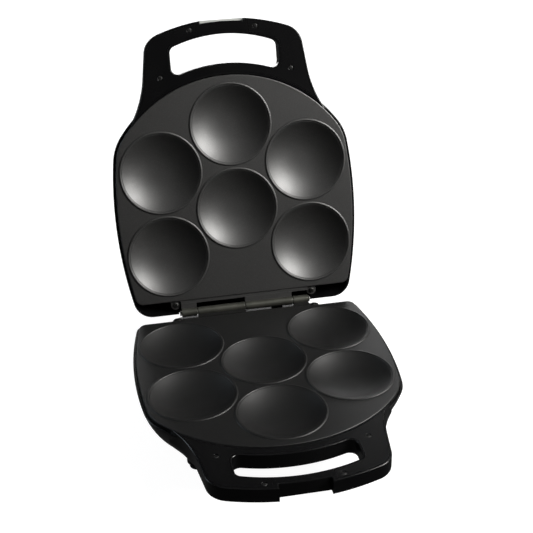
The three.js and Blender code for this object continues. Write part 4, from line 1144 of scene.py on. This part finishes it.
def latch_strip():
    half = NOTCH_HALF - LATCH_SIDE_GAP
    out = -LATCH_ARM_OUT - LATCH_ARM_T
    arm = -HANDLE_BOTTOM - LATCH_HOOK_T - LATCH_AXIS_Z + LATCH_HOOK_GAP
    reach = LATCH_AXIS_OUT + LATCH_HOOK
    web = LATCH_BARREL_R * sin(LATCH_ROLLED)
    bent = [(out, 0.02), (out, arm + LATCH_HOOK_T), (reach, arm + LATCH_HOOK_T), (reach, arm)]
    bent += [(-LATCH_ARM_OUT, arm), (-LATCH_ARM_OUT, web)]
    barrel = arc(0, 0, LATCH_BARREL_R, LATCH_ROLLED, -pi, 28)
    section = rounded(bent, LATCH_BEND_R, closed=False)
    strip = along_x(slab(section + barrel, -half, half, 0.25, 0.25))
    bore = along_x(slab(circle(0, 0, LATCH_PIN_R + 0.15, 24), -half - 1, half + 1))
    return assembled(strip, cut(bore))


at_latch = HALVES["lid"] @ Matrix.Translation((0, LATCH_AXIS_Y, LATCH_AXIS_Z))
folded = at_latch @ Matrix.Rotation(LATCH_ANGLE, 4, "X")
piece("latch_strip", latch_strip(), folded, "latch", [latch_plated_and_highlight], ["latch"])
pin_end = SOLID_HALF - 1
pin_profile = [(0, -pin_end), (LATCH_PIN_R, -pin_end), (LATCH_PIN_R, pin_end), (0, pin_end)]
latch_pin = along_x(turned(rounded(pin_profile, 0.2, 3, False)))
piece("latch_pin_turned", latch_pin, at_latch, "lid", [bright_steel], ["latch_pin"])


# ---------------------------------------------------------------- screws
# Cross-recessed pan heads, driven by hand, so that no two stand alike: black ones in the handle's covers,
# dulled steel ones in the plates' lugs and zinc-plated ones up through the feet.

# head radius, head height, shank radius, shank length
COVER_SCREW = (2.4, 1.1, 1.1, 9.0)
PLATE_SCREW = (2.8, 1.3, 1.35, 9.5)
FOOT_SCREW = (3.4, 1.6, 1.3, 7.5)
SCREW_SIZES = ("Head Radius", "Head Height", "Shank Radius", "Shank Length")
CROSS = ((1.2, 0.28), (0.28, 1.2))  # the recess's two bars, in head radii
DOMED = 0.55  # of the head's height, by which it falls off to its edge
FOOT_SUNK = 3

black_screw = material("black_screw", grained(
    1400.0, 3.0, (0.008, 0.008, 0.008), (0.02, 0.02, 0.02), (0.45, 0.15), (0.1, 0.00003),
    also={"Metallic": 0.3},
))
dull_steel = material("dull_steel", grained(
    500.0, 3.0, (0.012, 0.012, 0.011), (0.04, 0.04, 0.038), (0.42, 0.15), (0.1, 0.00003),
    also={"Metallic": 0.8},
))
zinc = material("zinc_plated", grained(
    900.0, 2.0, (0.42, 0.43, 0.43), (0.6, 0.6, 0.58), (0.28, 0.15), (0.08, 0.00003),
    also={"Metallic": 1.0},
))


def screw_tree():
    """Sets a pan-headed screw with a cross recess on every point, each turned its own way."""
    inputs = {label: "Float" for label in (*SCREW_SIZES, "Tilt")}
    tree, graph, given = tree_of("set_screws", {**inputs, "Seed": "Int", "Material": "Material"})
    head_r, head_h, shank_r, shank_l, tilt = [given.output(label) for label in inputs]

    def moved(mesh, z):
        lift = graph.node("ShaderNodeCombineXYZ", None, {"Z": z})
        return graph.node("GeometryNodeTransform", None, {"Geometry": mesh, "Translation": lift})

    def combined(kind, sockets):
        return graph.node("GeometryNodeMeshBoolean", {"operation": kind, "solver": "MANIFOLD"}, sockets)

    blank = {"Vertices": 32, "Fill Segments": 6, "Radius": head_r, "Depth": head_h}
    blank = graph.node("GeometryNodeMeshCylinder", None, blank)
    place = graph.node("ShaderNodeSeparateXYZ", None, {"Vector": graph.node("GeometryNodeInputPosition")})
    out = (place * place + place.output("Y") * place.output("Y")) / (head_r * head_r)
    fall = -DOMED * head_h * out * out * (place.output("Z") > 0)
    fall = graph.node("ShaderNodeCombineXYZ", None, {"Z": fall})
    dome = graph.node("GeometryNodeSetPosition", None, {"Geometry": blank, "Offset": fall})
    bars = []
    for long_x, long_y in CROSS:
        size = {"X": long_x * head_r, "Y": long_y * head_r, "Z": 1.1 * head_h}
        size = graph.node("ShaderNodeCombineXYZ", None, size)
        bars.append(moved(graph.node("GeometryNodeMeshCube", None, {"Size": size}), 0.5 * head_h))
    driven = combined("DIFFERENCE", {"Mesh 1": dome, "Mesh 2": bars})
    shank = {"Vertices": 20, "Radius": shank_r, "Depth": shank_l}
    shank = moved(graph.node("GeometryNodeMeshCylinder", None, shank), -0.5 * shank_l)
    whole = combined("UNION", {"Mesh 2": [moved(driven, 0.5 * head_h), shank]})
    half_turn = {2: 0.0, 3: pi, "Seed": given.output("Seed")}
    spin = graph.node("FunctionNodeRandomValue", {"data_type": "FLOAT"}, half_turn)
    way = graph.node("ShaderNodeCombineXYZ", None, {"X": tilt, "Z": spin.output(1)})
    spots = graph.node("GeometryNodeMeshToPoints", None, {"Mesh": given.output("Geometry")})
    set_out = {"Points": spots, "Instance": whole, "Rotation": way}
    placed = graph.node("GeometryNodeInstanceOnPoints", None, set_out)
    real = graph.node("GeometryNodeRealizeInstances", None, {0: placed})
    paint = {"Geometry": real, "Material": given.output("Material")}
    painted = graph.node("GeometryNodeSetMaterial", None, paint)
    graph.node("NodeGroupOutput", None, {"Geometry": painted})
    return tree


set_screws = screw_tree()


def screws(name, half, places, seat, sizes, tilt, seed, metal, nodes):
    """One mesh of like screws in a half, their heads seated at z = seat."""
    values = dict(zip(SCREW_SIZES, sizes), Tilt=tilt, Seed=seed, Material=metal)
    made = grown(set_screws, point_mesh(places, seat), values)
    piece(name, made, HALVES[half], half, [], nodes, 30)


lug_places = [(LUG_X, LUG_Y), (-LUG_X, LUG_Y)]
cover_seat = HANDLE_TOP - COUNTERBORE_DEEP + FIT / 2
lug_seat = LUG_TOP + FIT / 2
foot_seat = -SHELL_DEPTH - FOOT_H + FOOT_SUNK - FIT
for seed, half in enumerate(HALVES):
    for kind, places, seat, sizes, draw, metal, slot in (
        ("cover", COVER_SCREWS, cover_seat, COVER_SCREW, seed, black_screw, "screw"),
        ("plate", lug_places, lug_seat, PLATE_SCREW, seed + 7, dull_steel, "steel"),
    ):
        nodes = [f"{half}_{kind}_screw_{i + 1}" for i in range(len(places))]
        screws(f"{half}_{kind}_screws", half, places, seat, sizes, 0.0, draw, metal, nodes)
corners_of_base = [f"{end}_{side}" for end in ("front", "rear") for side in ("left", "right")]
nodes = [corner + "_foot_screw" for corner in corners_of_base]
screws("foot_screws", "base", FEET, foot_seat, FOOT_SCREW, pi, 3, zinc, nodes)


# ---------------------------------------------------------------- feet
# Four moulded rubber feet, screwed up into bosses of the base.

FOOT_IN_R = 1.8
FOOT_SUNK_R = 4.2
FOOT_DRAFT = 0.8

rubber = material("rubber", grained(
    1600.0, 3.0, (0.009, 0.009, 0.009), (0.02, 0.02, 0.019), (0.75, 0.12), (0.2, 0.0001),
    also={"Specular IOR Level": 0.3},
))
low, top = -SHELL_DEPTH - FOOT_H, -SHELL_DEPTH - 0.02
foot_profile = [(FOOT_IN_R, low + FOOT_SUNK), (FOOT_SUNK_R, low + FOOT_SUNK), (FOOT_SUNK_R, low)]
foot_profile += [(FOOT_R - FOOT_DRAFT, low), (FOOT_R, top), (FOOT_IN_R, top)]
feet = turned(rounded(foot_profile, 0.9), FEET, 48)
nodes = [corner + "_foot" for corner in corners_of_base]
piece("rubber_feet", feet, HALVES["base"], "base", [rubber], nodes)


# ---------------------------------------------------------------- cord gland
# A rubber bush in the back of the base, where the supply cord would pass.

GLAND_BORE_R = 3.6
GLAND_OUT = 2.2
gland_in = -WALL - 1.5
gland_profile = [(GLAND_BORE_R, gland_in), (GLAND_R, gland_in), (GLAND_R, FIT), (GLAND_R + 3, FIT)]
gland_profile += [(GLAND_R + 2, GLAND_OUT), (GLAND_BORE_R, GLAND_OUT)]
gland = turned(rounded(gland_profile, 0.7))
gland.transform(AT_GLAND)
piece("cord_gland_bush", gland, HALVES["base"], "base", [rubber], ["cord_gland"])


# ---------------------------------------------------------------- lamp lenses
# Red and green dome lenses with a flange, pushed into the lid's crown from outside.

CLEAR_TINT = {"Transmission Weight": 0.35, "IOR": 1.49, "Coat Weight": 0.5}
crown = -SHELL_DEPTH
lens_profile = [(0, crown + WALL + 1), (LENS_R, crown + WALL + 1), (LENS_R, crown), (LENS_R + 1.4, crown)]
lens_profile += [(LENS_R + 1.1, crown - 1.3), (LENS_R * 0.6, crown - 2.1), (0, crown - 2.4)]
for name, side, shade, slot in (
    ("power", 1, (0.55, 0.01, 0.01), "red_lens"),
    ("ready", -1, (0.01, 0.34, 0.06), "green_lens"),
):
    dome = turned(rounded(lens_profile, 0.6, closed=False), [(side * LENS_X, LENS_Y)])
    deep = tuple(0.7 * c for c in shade)
    tint = material(name + "_lens_tint", grained(400.0, 2.0, deep, shade, (0.1, 0.06), also=CLEAR_TINT))
    piece(name + "_lens_dome", dome, HALVES["lid"], "lid", [tint], [name + "_lens"])


# ---------------------------------------------------------------- inner pieces
# Heating elements, reflectors, controls and lamps, sealed inside the two halves. They keep the frame's
# own meshes and take their finishes here.

INNER = {
    "scaled_steel": grained(
        260.0, 5.0, (0.07, 0.062, 0.055), (0.16, 0.15, 0.14), (0.45, 0.25), (0.25, 0.0001),
        also={"Metallic": 0.8},
    ),
    "sheet_metal": grained(
        1.0, 3.0, (0.5, 0.51, 0.52), (0.62, 0.63, 0.64), (0.25, 0.2),
        stretch=(40, 900, 900), also={"Metallic": 1.0},
    ),
    "ceramic": grained(700.0, 3.0, (0.6, 0.57, 0.48), (0.74, 0.71, 0.63), (0.5, 0.2), (0.1, 0.00005)),
    "lamp_glass": grained(
        300.0, 2.0, (0.8, 0.78, 0.72), (0.92, 0.9, 0.85), (0.06, 0.1), also={"Transmission Weight": 0.6},
    ),
}
MADE_OF = {
    "scaled_steel": ["base_heating_element", "lid_heating_element"],
    "sheet_metal": ["base_reflector", "lid_reflector", "thermal_fuse"],
    "ceramic": ["thermostat", "terminal_block", "lamp_holder"],
    "lamp_glass": ["power_lamp", "ready_lamp"],
}
coats = {material(name, finish): MADE_OF[name] for name, finish in INNER.items()}
coats[zinc] = [f"{half}_reflector_screw_{i + 1}" for half in HALVES for i in range(3)]
for coat, nodes in coats.items():
    for node in nodes:
        frame["nodes"][node].data.materials.clear()
        frame["nodes"][node].data.materials.append(coat)
